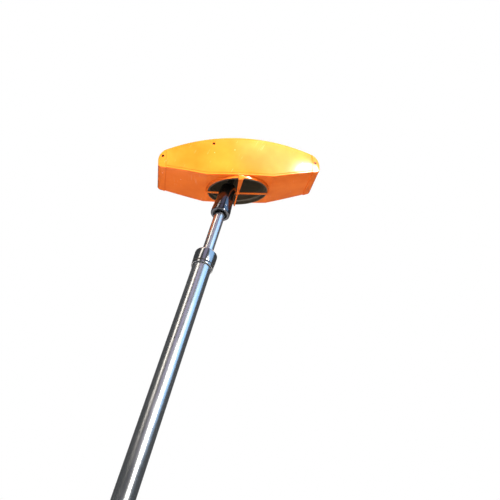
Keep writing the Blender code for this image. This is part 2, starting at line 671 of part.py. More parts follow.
def make_collar(dark, nylon, parent):
    """The tapered collar that turns on the upper tube, its bush and its retaining plug."""
    down = -PIVOT_Z
    crown_r = 2.6 * MM
    foot_r = 6.0 * MM
    ceiling = 737.0 * MM
    profile = [(COLLAR_BORE, COLLAR_FOOT + 1.2 * MM), (COLLAR_BORE + 0.6 * MM, COLLAR_FOOT)]
    profile += arc(COLLAR_FOOT_R - foot_r + 0.4 * MM, COLLAR_FOOT + foot_r, foot_r, -78, -8, 6)
    profile += [(COLLAR_FOOT_R + 0.35 * MM, COLLAR_FOOT + 11 * MM)]
    profile += arc(COLLAR_TOP_R - crown_r, COLLAR_TOP - crown_r, crown_r, 3, 90, 5)
    profile += [(SPIGOT_RADIUS + GAP, COLLAR_TOP), (SPIGOT_RADIUS + GAP, ceiling), (COLLAR_BORE, ceiling)]
    profile = [(r, z + down) for r, z in profile]
    add("tilt_collar", turned(profile, ROUND), dark, parent)
    bush = tube_profile(UPPER_TUBE_R + GAP, COLLAR_BORE - GAP, 702.0 * MM + down, 732.8 * MM + down)
    add("swivel_bush", turned(bush, MEDIUM_ROUND), nylon, parent)


def make_upper_pole(chrome, nylon, steel):
    """The sliding upper tube, with the plug that keeps the collar on it and the bush at its foot."""
    inner = UPPER_TUBE_R - UPPER_TUBE_WALL
    tube = tube_profile(inner, UPPER_TUBE_R, UPPER_TUBE_FOOT, UPPER_TUBE_TOP)
    add("upper_tube", turned(tube, MEDIUM_ROUND), chrome)
    flange = UPPER_TUBE_TOP + GAP
    plug = [(0.0, 712 * MM), (inner - GAP, 712 * MM), (inner - GAP, flange), (8.3 * MM, flange),
            (8.3 * MM, flange + 1.8 * MM), (0.0, flange + 1.8 * MM)]
    add("swivel_plug", turned(plug, MEDIUM_ROUND), steel)
    bush = tube_profile(UPPER_TUBE_R + GAP, LOWER_TUBE_R - LOWER_TUBE_WALL - GAP, 230 * MM, 252 * MM)
    add("guide_bush", turned(bush, MEDIUM_ROUND), nylon)


def make_lock_ring(dark):
    """The lock ring: a round-shouldered sleeve, slightly waisted, over the top of the lower tube."""
    shoulder = 4.6 * MM
    profile = [(LOCK_BORE, LOCK_FOOT), (LOCK_R - 1.0 * MM, LOCK_FOOT)]
    profile += [(LOCK_R - 0.6 * MM, LOCK_FOOT + 0.8 * MM)]
    profile += [(LOCK_R - 0.55 * MM, LOCK_FOOT + 6 * MM), (LOCK_R - 0.1 * MM, LOCK_TOP - 11 * MM)]
    profile += arc(LOCK_R - shoulder, LOCK_TOP - shoulder, shoulder, 0, 80, 6)
    profile += [(UPPER_TUBE_R + 0.9 * MM, LOCK_TOP), (UPPER_TUBE_R + GAP, LOCK_TOP - 0.7 * MM)]
    profile += [(UPPER_TUBE_R + GAP, LOCK_TOP - 5.5 * MM), (LOCK_BORE, LOCK_TOP - 8.5 * MM)]
    add("lock_ring", turned(profile, ROUND), dark)


def make_collet(nylon):
    """The split collet that the lock ring squeezes onto the upper tube."""
    inner = UPPER_TUBE_R + GAP
    profile = [(inner, LOWER_TUBE_TOP + GAP), (LOCK_BORE - GAP, LOWER_TUBE_TOP + GAP),
               (LOCK_BORE - GAP, LOCK_TOP - 10.5 * MM), (8.8 * MM, LOCK_TOP - 7.8 * MM),
               (inner, LOCK_TOP - 7.8 * MM)]
    collet = add("split_collet", turned(profile, MEDIUM_ROUND), nylon)
    slot = boxes(((0.0, -0.9 * MM, 600 * MM), (20 * MM, 0.9 * MM, 640 * MM)))
    boolean(collet, cutter("collet_slot", slot))


def make_lower_pole(chrome, gloss, rubber, foam, nylon):
    """The lower tube with its plug, hand grip, foot ferrule and pad."""
    inner = LOWER_TUBE_R - LOWER_TUBE_WALL
    tube = tube_profile(inner, LOWER_TUBE_R, LOWER_TUBE_FOOT, LOWER_TUBE_TOP)
    add("lower_tube", turned(tube, ROUND), chrome)
    plug = rod_profile(inner - GAP, LOWER_TUBE_FOOT, 52 * MM)
    add("tube_plug", turned(plug, MEDIUM_ROUND), nylon)

    sleeve = LOWER_TUBE_R + GAP
    floor = LOWER_TUBE_FOOT - GAP
    ferrule = [(0.0, 6.3 * MM), (14.5 * MM, 6.3 * MM), (15.5 * MM, 7.3 * MM), (15.5 * MM, 9.5 * MM),
               (12.8 * MM, 17 * MM), (12.8 * MM, 20 * MM), (14.6 * MM, 22 * MM), (14.6 * MM, 56 * MM),
               (13.2 * MM, 60 * MM), (sleeve, 60 * MM), (sleeve, floor), (0.0, floor)]
    add("foot_ferrule", turned(ferrule, ROUND), gloss)
    pad = [(0.0, 0.0), (FOOT_PAD_R - 1.5 * MM, 0.0), (FOOT_PAD_R, 1.5 * MM), (FOOT_PAD_R, 5.0 * MM),
           (FOOT_PAD_R - 1.0 * MM, 6.0 * MM), (0.0, 6.0 * MM)]
    add("foot_pad", turned(pad, ROUND), rubber)

    ridges = []
    centres = spread(GRIP_FOOT + 9 * MM, GRIP_TOP - 9 * MM, GRIP_RIDGES)
    for z in centres:
        ridges += [(GRIP_R, z - 6.5 * MM), (GRIP_R, z + 6.5 * MM)]
        if z != centres[-1]:
            ridges += [(GRIP_R - 1.3 * MM, z + 8.5 * MM), (GRIP_R - 1.3 * MM, z + 11.9 * MM)]
    grip = [(sleeve, GRIP_FOOT), (GRIP_R - 2 * MM, GRIP_FOOT)] + ridges
    grip += [(GRIP_R - 2 * MM, GRIP_TOP), (sleeve, GRIP_TOP)]
    add("grip_sleeve", turned(grip, MEDIUM_ROUND), foam)


def make_level(black, fluid, glass):
    """The level bracket clamped round the lower tube, with its round vial."""
    seat_x = 36 * MM
    sleeve = LOWER_TUBE_R + GAP
    ring = tube_profile(sleeve, sleeve + 4 * MM, BRACKET_FOOT, BRACKET_TOP)
    bracket = add("level_bracket", turned(ring, ROUND), black)
    arm_low = BRACKET_FOOT + 3 * MM
    arm = boxes(((sleeve + 2 * MM, -6 * MM, arm_low - 0.2 * MM),
                 (seat_x - 11.6 * MM, 6 * MM, arm_low + 6 * MM)))
    boolean(bracket, cutter("level_arm", arm), "UNION")
    seat = [(0.0, arm_low), (12.5 * MM, arm_low), (12.5 * MM, BRACKET_TOP), (10.3 * MM, BRACKET_TOP),
            (10.3 * MM, arm_low + 2 * MM), (0.0, arm_low + 2 * MM)]
    move = Matrix.Translation((seat_x, 0, 0))
    boolean(bracket, cutter("level_seat", turned(seat, MEDIUM_ROUND), None, move), "UNION")
    low = arm_low + 2 * MM + GAP
    disc = rod_profile(9.9 * MM, low, low + 5 * MM)
    add("level_fluid", turned(disc, MEDIUM_ROUND), fluid, None, move)
    lens = [(0.0, low + 5 * MM + GAP), (9.9 * MM, low + 5 * MM + GAP), (9.9 * MM, low + 6.6 * MM),
            (6.0 * MM, low + 7.4 * MM), (0.0, low + 7.8 * MM)]
    add("level_window", turned(lens, MEDIUM_ROUND), glass, None, move)


# ---- the whole -----------------------------------------------------------------------------------------

def main():
    """Builds every piece."""
    clear_scene()
    orange = material("orange_enamel", (0.86, 0.18, 0.02), 0.25)
    gloss = material("gloss_black", (0.012, 0.012, 0.014), 0.15)
    satin = material("satin_black", (0.03, 0.03, 0.032), 0.4)
    chrome = material("chrome", (0.7, 0.72, 0.76), 0.12, 1.0)
    dark_chrome = material("dark_chrome", (0.12, 0.12, 0.13), 0.12, 1.0)
    steel = material("steel", (0.55, 0.55, 0.57), 0.3, 1.0)
    nylon = material("nylon", (0.05, 0.05, 0.055), 0.5)
    rubber = material("rubber", (0.03, 0.03, 0.03), 0.75)
    foam = material("foam", (0.04, 0.04, 0.042), 0.9)
    alloy = material("alloy", (0.75, 0.76, 0.78), 0.35, 1.0)
    board = material("board", (0.02, 0.16, 0.06), 0.5)
    ceramic = material("ceramic", (0.75, 0.7, 0.6), 0.5)
    brass = material("brass", (0.75, 0.55, 0.2), 0.3, 1.0)
    wrap = material("battery_wrap", (0.05, 0.12, 0.4), 0.4)
    lens = material("lens", (0.2, 0.8, 0.3), 0.15)
    fluid = material("vial_fluid", (0.6, 0.85, 0.15), 0.1)
    glass = material("vial_glass", (0.85, 0.9, 0.9), 0.05)

    swivel = bpy.data.objects.new("swivel_frame", None)
    bpy.context.collection.objects.link(swivel)
    place(swivel, None, Matrix.Translation((0, 0, PIVOT_Z)))
    make_collar(dark_chrome, nylon, swivel)
    make_tilt_neck(gloss, swivel)

    hinge = bpy.data.objects.new("tilt_frame", None)
    bpy.context.collection.objects.link(hinge)
    place(hinge, None, Matrix.Translation((0, 0, PIVOT_Z)) @ Matrix.Rotation(TILT, 4, TILT_AXIS))
    head = bpy.data.objects.new("head_frame", None)
    bpy.context.collection.objects.link(head)
    place(head, hinge, Matrix.Translation((0, 0, -PIVOT_DEPTH)))

    front = make_panel("front_panel", -1, orange, head)
    rear = make_panel("rear_panel", 1, orange, head)
    make_top_shell(orange, head)
    make_belly_cover(orange, head)
    make_gasket("gasket_front", -1, rubber, head)
    make_gasket("gasket_rear", 1, rubber, head)
    left = make_end_cap("end_cap_left", -1, orange, head)
    right = make_end_cap("end_cap_right", 1, orange, head)
    make_rim_cross(orange, head)
    make_recess_cup(gloss, head)

    front_places = [(-36 * MM, 46.5 * MM, 0.0), (-104.5 * MM, 29 * MM, CAP_PROUD),
                    (105 * MM, 26 * MM, CAP_PROUD)]
    small_screws("front_screw", front_places, -1, steel, head, (front, left, right))
    rear_places = [(x * MM, z * MM, 0.0) for x, z in ((-92, 33), (-25, 48), (25, 48), (92, 33))]
    small_screws("rear_screw", rear_places, 1, steel, head, (rear,) * 4)
    make_power_button(satin, nylon, head, rear)
    make_status_lens(lens, head, rear)
    make_data_port(steel, nylon, rubber, head, rear)

    make_clevis(satin, steel, nylon, head)
    make_bulkheads(alloy, head)
    make_antenna(brass, ceramic, head)
    make_electronics(board, alloy, nylon, brass, head)
    make_battery(satin, wrap, head)

    make_upper_pole(chrome, nylon, steel)
    make_lock_ring(dark_chrome)
    make_collet(nylon)
    make_lower_pole(chrome, gloss, rubber, foam, nylon)
    make_level(satin, fluid, glass)


main()
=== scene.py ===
"""A satellite receiver head on a slim telescoping pole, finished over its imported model.

The head is a lens-shaped case of orange enamelled shells round a black recess. It tilts on a pin at the top
of a polished pole with a lock ring, a foam grip, a round level and a rubber foot. Lengths are in millimetres,
except in the studio, where they are in metres, as in the meshes.
"""

import json
import logging
import math
from dataclasses import dataclass, field
from enum import Enum
from typing import Iterable, Optional, Sequence

import bmesh
import bpy
from mathutils import Matrix, Vector

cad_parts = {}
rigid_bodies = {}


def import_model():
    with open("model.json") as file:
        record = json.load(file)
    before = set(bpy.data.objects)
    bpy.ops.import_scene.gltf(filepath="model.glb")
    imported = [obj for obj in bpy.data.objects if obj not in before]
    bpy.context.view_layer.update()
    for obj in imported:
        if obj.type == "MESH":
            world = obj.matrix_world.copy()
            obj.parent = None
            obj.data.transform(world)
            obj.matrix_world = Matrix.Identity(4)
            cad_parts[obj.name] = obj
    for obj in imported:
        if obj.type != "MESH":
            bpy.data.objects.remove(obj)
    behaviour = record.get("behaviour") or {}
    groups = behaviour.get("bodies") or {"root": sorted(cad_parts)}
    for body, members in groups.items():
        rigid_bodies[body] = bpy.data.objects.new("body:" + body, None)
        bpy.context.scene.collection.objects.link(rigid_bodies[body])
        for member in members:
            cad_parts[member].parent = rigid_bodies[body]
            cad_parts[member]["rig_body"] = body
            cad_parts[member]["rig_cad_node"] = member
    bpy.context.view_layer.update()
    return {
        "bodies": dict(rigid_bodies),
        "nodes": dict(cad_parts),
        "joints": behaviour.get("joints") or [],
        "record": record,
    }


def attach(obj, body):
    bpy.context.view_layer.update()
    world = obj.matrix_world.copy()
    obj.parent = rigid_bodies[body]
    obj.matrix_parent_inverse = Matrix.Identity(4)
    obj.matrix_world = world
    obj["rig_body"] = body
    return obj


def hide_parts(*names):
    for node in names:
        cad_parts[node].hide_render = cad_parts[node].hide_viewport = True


MM = 0.001
LOG = logging.getLogger("receiver")

Place = tuple[float, float, float]
Flat = tuple[float, float]
Piece = bpy.types.Object
Socket = bpy.types.NodeSocket


class Body(Enum):
    """The rigid bodies that pieces ride on."""

    HEAD = "head"
    COLLAR = "tilt_collar"
    UPPER = "upper_pole"
    LOCK = "lock_ring"
    LOWER = "lower_pole"
    BUTTON = "power_button"
    COVER = "port_cover"


class Side(Enum):
    """The two long faces of the head."""

    FRONT = -1
    REAR = 1


# ---- modelling ------------------------------------------------------------------------------------------


@dataclass(frozen=True)
class Corner:
    """A corner of an outline: two distances and how far the corner is rounded, in millimetres."""

    a: float
    b: float
    soft: float = 0.0


def spread(low: float, high: float, count: int) -> list[float]:
    """Evenly spaced values.

    Args:
        low: The first value.
        high: The last value.
        count: How many there are.

    Returns:
        The values, both ends included.
    """
    return [low + (high - low) * i / (count - 1) for i in range(count)]


def softened(corners: Sequence[Corner], closed: bool = True, steps: int = 5) -> list[Flat]:
    """Rounds the corners of an outline.

    Args:
        corners: The outline's corners in order.
        closed: Whether the last corner joins the first.
        steps: Points on each rounded corner.

    Returns:
        The outline's points, in millimetres.
    """
    points: list[Flat] = []
    last = len(corners) - 1
    for i, corner in enumerate(corners):
        here = Vector((corner.a, corner.b))
        if corner.soft <= 0.0 or (not closed and i in (0, last)):
            points.append((here.x, here.y))
            continue
        back = Vector((corners[i - 1].a, corners[i - 1].b)) - here
        ahead = Vector((corners[(i + 1) % len(corners)].a, corners[(i + 1) % len(corners)].b)) - here
        half = back.angle(ahead) / 2
        trim = min(corner.soft / max(math.tan(half), 0.05), 0.48 * back.length, 0.48 * ahead.length)
        start, end = here + back.normalized() * trim, here + ahead.normalized() * trim
        for s in spread(0.0, 1.0, steps):
            p = start * (1 - s) ** 2 + here * 2 * s * (1 - s) + end * s ** 2
            points.append((p.x, p.y))
    return points


def pick_only(piece: Piece) -> None:
    """Selects one object alone and makes it active."""
    bpy.ops.object.select_all(action="DESELECT")
    piece.select_set(True)
    bpy.context.view_layer.objects.active = piece


def settle(piece: Piece, place: Optional[Matrix] = None) -> Piece:
    """Puts a piece in its place and bakes that place into its mesh.

    Args:
        piece: The object, modelled at the origin.
        place: Where it belongs in the row frame.

    Returns:
        The same object, now unturned at the origin.
    """
    pick_only(piece)
    if place is not None:
        piece.matrix_world = place @ piece.matrix_world
    bpy.ops.object.transform_apply(location=True, rotation=True, scale=True)
    return piece


def smooth(piece: Piece, degrees: float = 30.0) -> Piece:
    """Shades a piece smooth except across edges sharper than an angle."""
    pick_only(piece)
    bpy.ops.object.shade_smooth_by_angle(angle=math.radians(degrees))
    return piece


def turned(name: str, corners: Sequence[Corner], steps: int = 96, closed: bool = True) -> Piece:
    """A piece turned on the Z axis, drawn as a line of vertices and spun.

    Args:
        name: The piece's name.
        corners: Its outline as (radius, height) corners, in millimetres.
        steps: Steps round the circle.
        closed: Whether the outline closes on itself, as a tube's does; if not, it ends on the axis.

    Returns:
        The new object.
    """
    points = softened(corners, closed)
    if closed:
        points.append(points[0])
    bpy.ops.object.select_all(action="DESELECT")
    first = (points[0][0] * MM, 0.0, points[0][1] * MM)
    bpy.ops.mesh.primitive_plane_add(size=MM, location=first)
    piece = bpy.context.object
    piece.name = name
    bpy.ops.object.mode_set(mode="EDIT")
    bpy.ops.mesh.select_all(action="SELECT")
    bpy.ops.mesh.merge(type="CENTER")
    for one, two in zip(points, points[1:]):
        move = ((two[0] - one[0]) * MM, 0.0, (two[1] - one[1]) * MM)
        bpy.ops.mesh.extrude_vertices_move(TRANSFORM_OT_translate={"value": move})
    bpy.ops.mesh.select_all(action="SELECT")
    bpy.ops.mesh.spin(steps=steps, angle=math.tau, center=(0, 0, 0), axis=(0, 0, 1))
    return sealed(piece)


def barrel(name: str, radii: Flat, heights: Flat, steps: int, soft: Place = (0, 0, 0)) -> Piece:
    """A plain tube on the Z axis, or a rod where the inner radius is 0.

    Args:
        name: The piece's name.
        radii: Its inner and outer radius, in millimetres.
        heights: The heights of its foot and its top.
        steps: Steps round the circle.
        soft: The rounding of its inner foot, outer foot and outer top edges.

    Returns:
        The new object.
    """
    (inner, outer), (low, high) = radii, heights
    corners = [Corner(inner, low, soft[0]), Corner(outer, low, soft[1]), Corner(outer, high, soft[2]),
               Corner(inner, high)]
    return turned(name, corners, steps, closed=inner > 0)


def sealed(piece: Piece) -> Piece:
    """Merges doubles, turns the faces outwards, leaves edit mode and applies the transform."""
    bpy.ops.mesh.select_all(action="SELECT")
    bpy.ops.mesh.remove_doubles(threshold=2e-6)
    bpy.ops.mesh.delete_loose()
    bpy.ops.mesh.select_all(action="SELECT")
    bpy.ops.mesh.normals_make_consistent(inside=False)
    bpy.ops.object.mode_set(mode="OBJECT")
    return smooth(settle(piece))


def lofted(name: str, rings: Sequence[Sequence[Place]], open_start: bool = False) -> Piece:
    """A skin through rings: a circle pulled to the first ring, then extruded and pulled to each next one.

    Args:
        name: The piece's name.
        rings: Rings of the same number of points, in millimetres.
        open_start: Leaves the first ring open, as on a cup.

    Returns:
        The new object.
    """
    fill = "NOTHING" if open_start else "NGON"
    bpy.ops.object.select_all(action="DESELECT")
    bpy.ops.mesh.primitive_circle_add(vertices=len(rings[0]), radius=MM, fill_type=fill)
    piece = bpy.context.object
    piece.name = name
    for number, ring in enumerate(rings):
        bpy.ops.object.mode_set(mode="EDIT")
        if number:
            bpy.ops.mesh.extrude_edges_move()
        bpy.ops.object.mode_set(mode="OBJECT")
        verts = piece.data.vertices[-len(ring):]
        for vert, point in zip(verts, ring):
            vert.co = Vector(point) * MM
    bpy.ops.object.mode_set(mode="EDIT")
    bpy.ops.mesh.edge_face_add()
    return sealed(piece)


def modified(piece: Piece, kind: str, **settings: object) -> Piece:
    """Adds a modifier of a kind to a piece, sets the modifier's properties and applies it."""
    pick_only(piece)
    bpy.ops.object.modifier_add(type=kind)
    step = piece.modifiers[-1]
    for key, value in settings.items():
        setattr(step, key, value)
    bpy.ops.object.modifier_apply(modifier=step.name)
    return piece


def boolean(piece: Piece, tool: Piece, mode: str = "DIFFERENCE") -> Piece:
    """Cuts a piece with another, or joins the two, and removes the other.

    Args:
        piece: The piece that stays.
        tool: The piece that cuts it or joins it.
        mode: The Boolean operation.

    Returns:
        The first piece.
    """
    modified(piece, "BOOLEAN", operation=mode, object=tool)
    bpy.data.objects.remove(tool)
    return smooth(piece)


def bevelled(piece: Piece, width: float, degrees: float = 30.0, segments: int = 3) -> Piece:
    """Rounds every edge of a piece that is sharper than an angle.

    Args:
        piece: The piece.
        width: The rounding's width in millimetres.
        degrees: The least angle of an edge that is rounded.
        segments: Facets across the rounding.

    Returns:
        The same piece.
    """
    return smooth(modified(piece, "BEVEL", width=width * MM, segments=segments, limit_method="ANGLE",
                           angle_limit=math.radians(degrees), use_clamp_overlap=True))


def walled(piece: Piece, thickness: float) -> Piece:
    """Gives a sheet a wall on its inner side, thickness in millimetres."""
    return modified(piece, "SOLIDIFY", thickness=thickness * MM, offset=-1.0)


def refined(node: Piece, name: str, width: float, degrees: float = 30.0) -> Piece:
    """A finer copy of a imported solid: merged, its flat faces joined and its edges rounded.

    Args:
        node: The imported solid.
        name: The copy's name.
        width: The rounding of its edges in millimetres.
        degrees: The least angle of an edge that is rounded.

    Returns:
        The copy.
    """
    pick_only(node)
    bpy.ops.object.duplicate()
    piece = bpy.context.object
    piece.name = name
    piece.parent = None
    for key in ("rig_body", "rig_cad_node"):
        del piece[key]
    piece.data.materials.clear()
    bpy.ops.object.mode_set(mode="EDIT")
    bpy.ops.mesh.select_all(action="SELECT")
    bpy.ops.mesh.remove_doubles(threshold=2e-6)
    bpy.ops.mesh.dissolve_limited(angle_limit=math.radians(1.0))
    bpy.ops.object.mode_set(mode="OBJECT")
    return bevelled(piece, width, degrees, 2)


def slab(low: Place, high: Place) -> list[list[Place]]:
    """Two rings that bound an upright box, for a loft."""
    return [[(x, low[1], low[2]), (x, high[1], low[2]), (x, high[1], high[2]), (x, low[1], high[2])]
            for x in (low[0], high[0])]


# ---- finishes -------------------------------------------------------------------------------------------


def linear(hex_colour: str) -> tuple[float, float, float, float]:
    """Turns an sRGB hex colour into linear values.

    Args:
        hex_colour: Six hex digits.

    Returns:
        Red, green, blue and alpha.
    """
    parts = [int(hex_colour[i:i + 2], 16) / 255 for i in (0, 2, 4)]
    return (*(p / 12.92 if p <= 0.04045 else ((p + 0.055) / 1.055) ** 2.4 for p in parts), 1.0)


def shaded(hex_colour: str, factor: float) -> tuple[float, ...]:
    """A colour's linear values, darker or lighter by a factor."""
    return tuple(min(1.0, factor * c) for c in linear(hex_colour)[:3]) + (1.0,)


def per(size: float) -> float:
    """The noise scale whose features are about a size in millimetres."""
    return 1.0 / (size * MM)


class Graph:
    """A material's nodes, with its shader already in place."""

    def __init__(self, name: str) -> None:
        """Makes the material and keeps its tree and shader."""
        self.material = bpy.data.materials.new(name)
        self.material.use_nodes = True
        self.tree = self.material.node_tree
        self.shader = self.tree.nodes["Principled BSDF"]
        self.place = self.add("ShaderNodeTexCoord").outputs["Object"]

    def add(self, kind: str, links: Optional[dict] = None, **settings: object) -> bpy.types.Node:
        """Adds a node.

        Args:
            kind: The node's type.
            links: Socket name or number to a value or to another node's output.
            settings: The node's own properties.

        Returns:
            The node.
        """
        node = self.tree.nodes.new(kind)
        for key, value in settings.items():
            setattr(node, key, value)
        for key, value in (links or {}).items():
            if isinstance(value, Socket):
                self.tree.links.new(value, node.inputs[key])
            else:
                node.inputs[key].default_value = value
        return node

    def noise(self, size: float, stretch: Place = (1, 1, 1), turn: Place = (0, 0, 0),
              detail: float = 3.0, rough: float = 0.55) -> Socket:
        """Noise with features of a size in mm, stretched along axes that are turned by degrees."""
        angles = tuple(math.radians(a) for a in turn)
        scale = tuple(size * MM * s for s in stretch)
        spot = self.add("ShaderNodeMapping", {"Vector": self.place, "Rotation": angles, "Scale": scale},
                        vector_type="TEXTURE")
        return self.add("ShaderNodeTexNoise", {"Vector": spot.outputs[0], "Scale": 1.0, "Detail": detail,
                                               "Roughness": rough}).outputs["Fac"]

    def cells(self, size: float, feature: str = "F1") -> Socket:
        """Distance to the nearest of many points, about a size in mm apart."""
        return self.add("ShaderNodeTexVoronoi", {"Vector": self.place, "Scale": per(size)},
                        feature=feature).outputs["Distance"]

    def between(self, source: Socket, low: float, high: float, start: float = 0.0, end: float = 1.0) -> Socket:
        """Maps a value from low..high to start..end, held at both ends."""
        return self.add("ShaderNodeMapRange", {"Value": source, "From Min": low, "From Max": high,
                                               "To Min": start, "To Max": end}).outputs["Result"]

    def both(self, one: Socket, two: Socket, how: str = "MULTIPLY") -> Socket:
        """Combines two values."""
        return self.add("ShaderNodeMath", {0: one, 1: two}, operation=how).outputs[0]

    def mixed(self, share: Socket, one: object, two: object) -> Socket:
        """Mixes two colours through the colour sockets of a Mix node."""
        node = self.add("ShaderNodeMix", data_type="RGBA")
        for socket, value in ((node.inputs[0], share), (node.inputs[6], one), (node.inputs[7], two)):
            if isinstance(value, Socket):
                self.tree.links.new(value, socket)
            else:
                socket.default_value = value
        return node.outputs[2]

    def colour(self, source: Socket) -> None:
        """Links the shader's base colour."""
        self.tree.links.new(source, self.shader.inputs["Base Color"])

    def roughness(self, source: Socket) -> None:
        """Links the shader's roughness."""
        self.tree.links.new(source, self.shader.inputs["Roughness"])

    def relief(self, *layers: tuple[Socket, float]) -> None:
        """Links the shader's normal to bumps, each a height and its depth in millimetres."""
        normal = None
        for height, depth in layers:
            links = {"Height": height, "Distance": depth * MM, "Strength": 1.0}
            if normal is not None:
                links["Normal"] = normal
            normal = self.add("ShaderNodeBump", links).outputs["Normal"]
        self.tree.links.new(normal, self.shader.inputs["Normal"])


@dataclass(frozen=True)
class Finish:
    """What a piece is made of: its colour and its shine. It also holds the name of a slot of the record, which
    is not given to the material.
    """

    name: str
    slot: str
    colour: str
    shine: float
    ior: float = 1.5
    metallic: float = 0.0
    coat: float = 0.0

    def make(self) -> bpy.types.Material:
        """Builds the material: the plain values on the shader's sockets, then the pattern."""
        graph = Graph(self.name)
        values = {"Base Color": linear(self.colour), "Roughness": self.shine, "Metallic": self.metallic,
                  "Coat Weight": self.coat, "Coat Roughness": 0.06}
        if not self.metallic:
            values["IOR"] = self.ior
        for socket, value in values.items():
            graph.shader.inputs[socket].default_value = value
        self.pattern(graph)
        return graph.material

    def pattern(self, graph: Graph) -> None:
        """Adds the surface's own detail; each finish has its own."""
        raise NotImplementedError(self.name)


@dataclass(frozen=True)
class Enamel(Finish):
    """Sprayed and polished enamel on ABS: deep colour, slight orange peel, hairline scratches, old nicks."""

    shade: str = "E2661A"
    worn: str = "FFE3BC"

    def pattern(self, graph: Graph) -> None:
        """Faint clouding over 45 mm, scratches drawn coarse at 0.8 mm so that they show, small nicks."""
        cloud = graph.between(graph.noise(45.0), 0.35, 0.65)
        base = graph.mixed(cloud, linear(self.colour), linear(self.shade))
        hair = graph.between(graph.noise(0.8, (50, 50, 1), (0, -76, 0), 1.0), 0.66, 0.73)
        gate = graph.between(graph.noise(18.0), 0.55, 0.63)
        scratch = graph.both(hair, gate)
        nick = graph.between(graph.cells(11.0), 0.055, 0.035)
        sparse = graph.between(graph.noise(26.0, detail=1.0), 0.56, 0.60)
        nick = graph.both(nick, sparse)
        wear = graph.both(graph.both(scratch, graph.between(cloud, 0, 1, 0.22, 0.4)), nick, "MAXIMUM")
        graph.colour(graph.mixed(wear, base, linear(self.worn)))
        graph.roughness(graph.between(wear, 0.0, 1.0, self.shine, 0.5))
        graph.relief((graph.noise(1.6, detail=1.0), 0.004), (wear, -0.03))


@dataclass(frozen=True)
class Plated(Finish):
    """Plated and drawn metal: mirror bright, with faint draw lines and rub marks along the length."""

    line: float = 0.35
    haze: float = 0.10

    def pattern(self, graph: Graph) -> None:
        """Draw lines of a third of a millimetre along Z and rubbed patches of about 25 mm."""
        lines = graph.noise(self.line, (1, 1, 220), detail=1.0)
        rub = graph.between(graph.noise(25.0, (1, 1, 3)), 0.45, 0.7)
        hazed = graph.both(graph.between(lines, 0.3, 0.7, 0.0, self.haze), rub)
        rubbed = graph.between(rub, 0, 1, self.shine, self.shine + 0.05)
        graph.roughness(graph.both(hazed, rubbed, "ADD"))
        graph.colour(graph.mixed(graph.between(lines, 0.35, 0.65), linear(self.colour),
                                 shaded(self.colour, 0.8)))
        graph.relief((lines, 0.0004))


@dataclass(frozen=True)
class Moulded(Finish):
    """Moulded plastic or rubber: an even colour broken by a fine grain and a little dust."""

    grain: float = 0.35
    depth: float = 0.02
    dust: str = "3A3833"
    dusty: float = 0.35

    def pattern(self, graph: Graph) -> None:
        """Grain of a fraction of a millimetre; dust in patches of about 12 mm."""
        grain = graph.noise(self.grain, detail=2.0)
        dust = graph.between(graph.noise(12.0), 0.5, 0.75, 0.0, self.dusty)
        graph.colour(graph.mixed(dust, linear(self.colour), linear(self.dust)))
        graph.roughness(graph.both(graph.between(dust, 0, 1, self.shine, min(1.0, self.shine + 0.3)),
                                   graph.between(grain, 0.3, 0.7, -0.04, 0.04), "ADD"))
        graph.relief((grain, self.depth))


@dataclass(frozen=True)
class Foamed(Finish):
    """Closed-cell foam: matt, pitted with cells drawn at 1.1 mm so that they show, with pale rubbed tops."""

    rubbed: str = "38383A"

    def pattern(self, graph: Graph) -> None:
        """Cells of two sizes and rubbed patches."""
        pits = graph.between(graph.cells(1.1), 0.0, 0.55)
        rub = graph.between(graph.noise(9.0), 0.5, 0.7, 0.0, 0.6)
        graph.colour(graph.mixed(graph.both(pits, rub), linear(self.colour), linear(self.rubbed)))
        graph.roughness(graph.between(pits, 0, 1, 0.95, self.shine))
        graph.relief((pits, 0.12), (graph.noise(0.4), 0.03))


@dataclass(frozen=True)
class Machined(Finish):
    """Turned, milled or brushed metal: fine tool lines and a slightly uneven tone."""

    lines: Place = (1, 1, 1)
    pitch: float = 0.25

    def pattern(self, graph: Graph) -> None:
        """Tool lines a quarter of a millimetre apart."""
        tool = graph.noise(self.pitch, self.lines, detail=2.0)
        tone = graph.between(graph.noise(6.0), 0.3, 0.7)
        graph.colour(graph.mixed(graph.both(tone, tool), linear(self.colour), shaded(self.colour, 0.72)))
        graph.roughness(graph.between(tool, 0.3, 0.7, self.shine, self.shine + 0.15))
        graph.relief((tool, 0.006))


@dataclass(frozen=True)
class Board(Finish):
    """Glass-fibre board under green solder mask, with copper tracks that show as paler lines."""

    track: str = "2F8F55"

    def pattern(self, graph: Graph) -> None:
        """Tracks on a 2.5 mm grid with gold pads between them."""
        grid = graph.add("ShaderNodeTexBrick", {"Vector": graph.place, "Scale": per(5.0), "Mortar Size": 0.03,
                                                "Color1": (0, 0, 0, 1), "Color2": (0.2, 0.2, 0.2, 1),
                                                "Mortar": (1, 1, 1, 1)}).outputs["Fac"]
        pads = graph.between(graph.cells(4.0), 0.16, 0.12)
        green = graph.mixed(grid, linear(self.colour), linear(self.track))
        graph.colour(graph.mixed(pads, green, linear("C8A24A")))
        graph.roughness(graph.between(pads, 0, 1, self.shine, 0.3))
        graph.relief((grid, 0.03))


@dataclass(frozen=True)
class Clear(Finish):
    """Clear or tinted glass, lens or spirit: mostly see-through, with faint ripples and specks."""

    through: float = 1.0

    def make(self) -> bpy.types.Material:
        """Builds the material with its light passing through."""
        material = super().make()
        shader = material.node_tree.nodes["Principled BSDF"]
        shader.inputs["Transmission Weight"].default_value = self.through
        return material

    def pattern(self, graph: Graph) -> None:
        """Ripples of 5 mm and a slightly uneven tint."""
        haze = graph.noise(2.0)
        graph.colour(graph.mixed(graph.between(haze, 0.35, 0.65), linear(self.colour),
                                 shaded(self.colour, 1.12)))
        graph.roughness(graph.between(haze, 0.4, 0.8, self.shine, self.shine + 0.06))
        graph.relief((graph.noise(5.0, detail=0.0), 0.004))


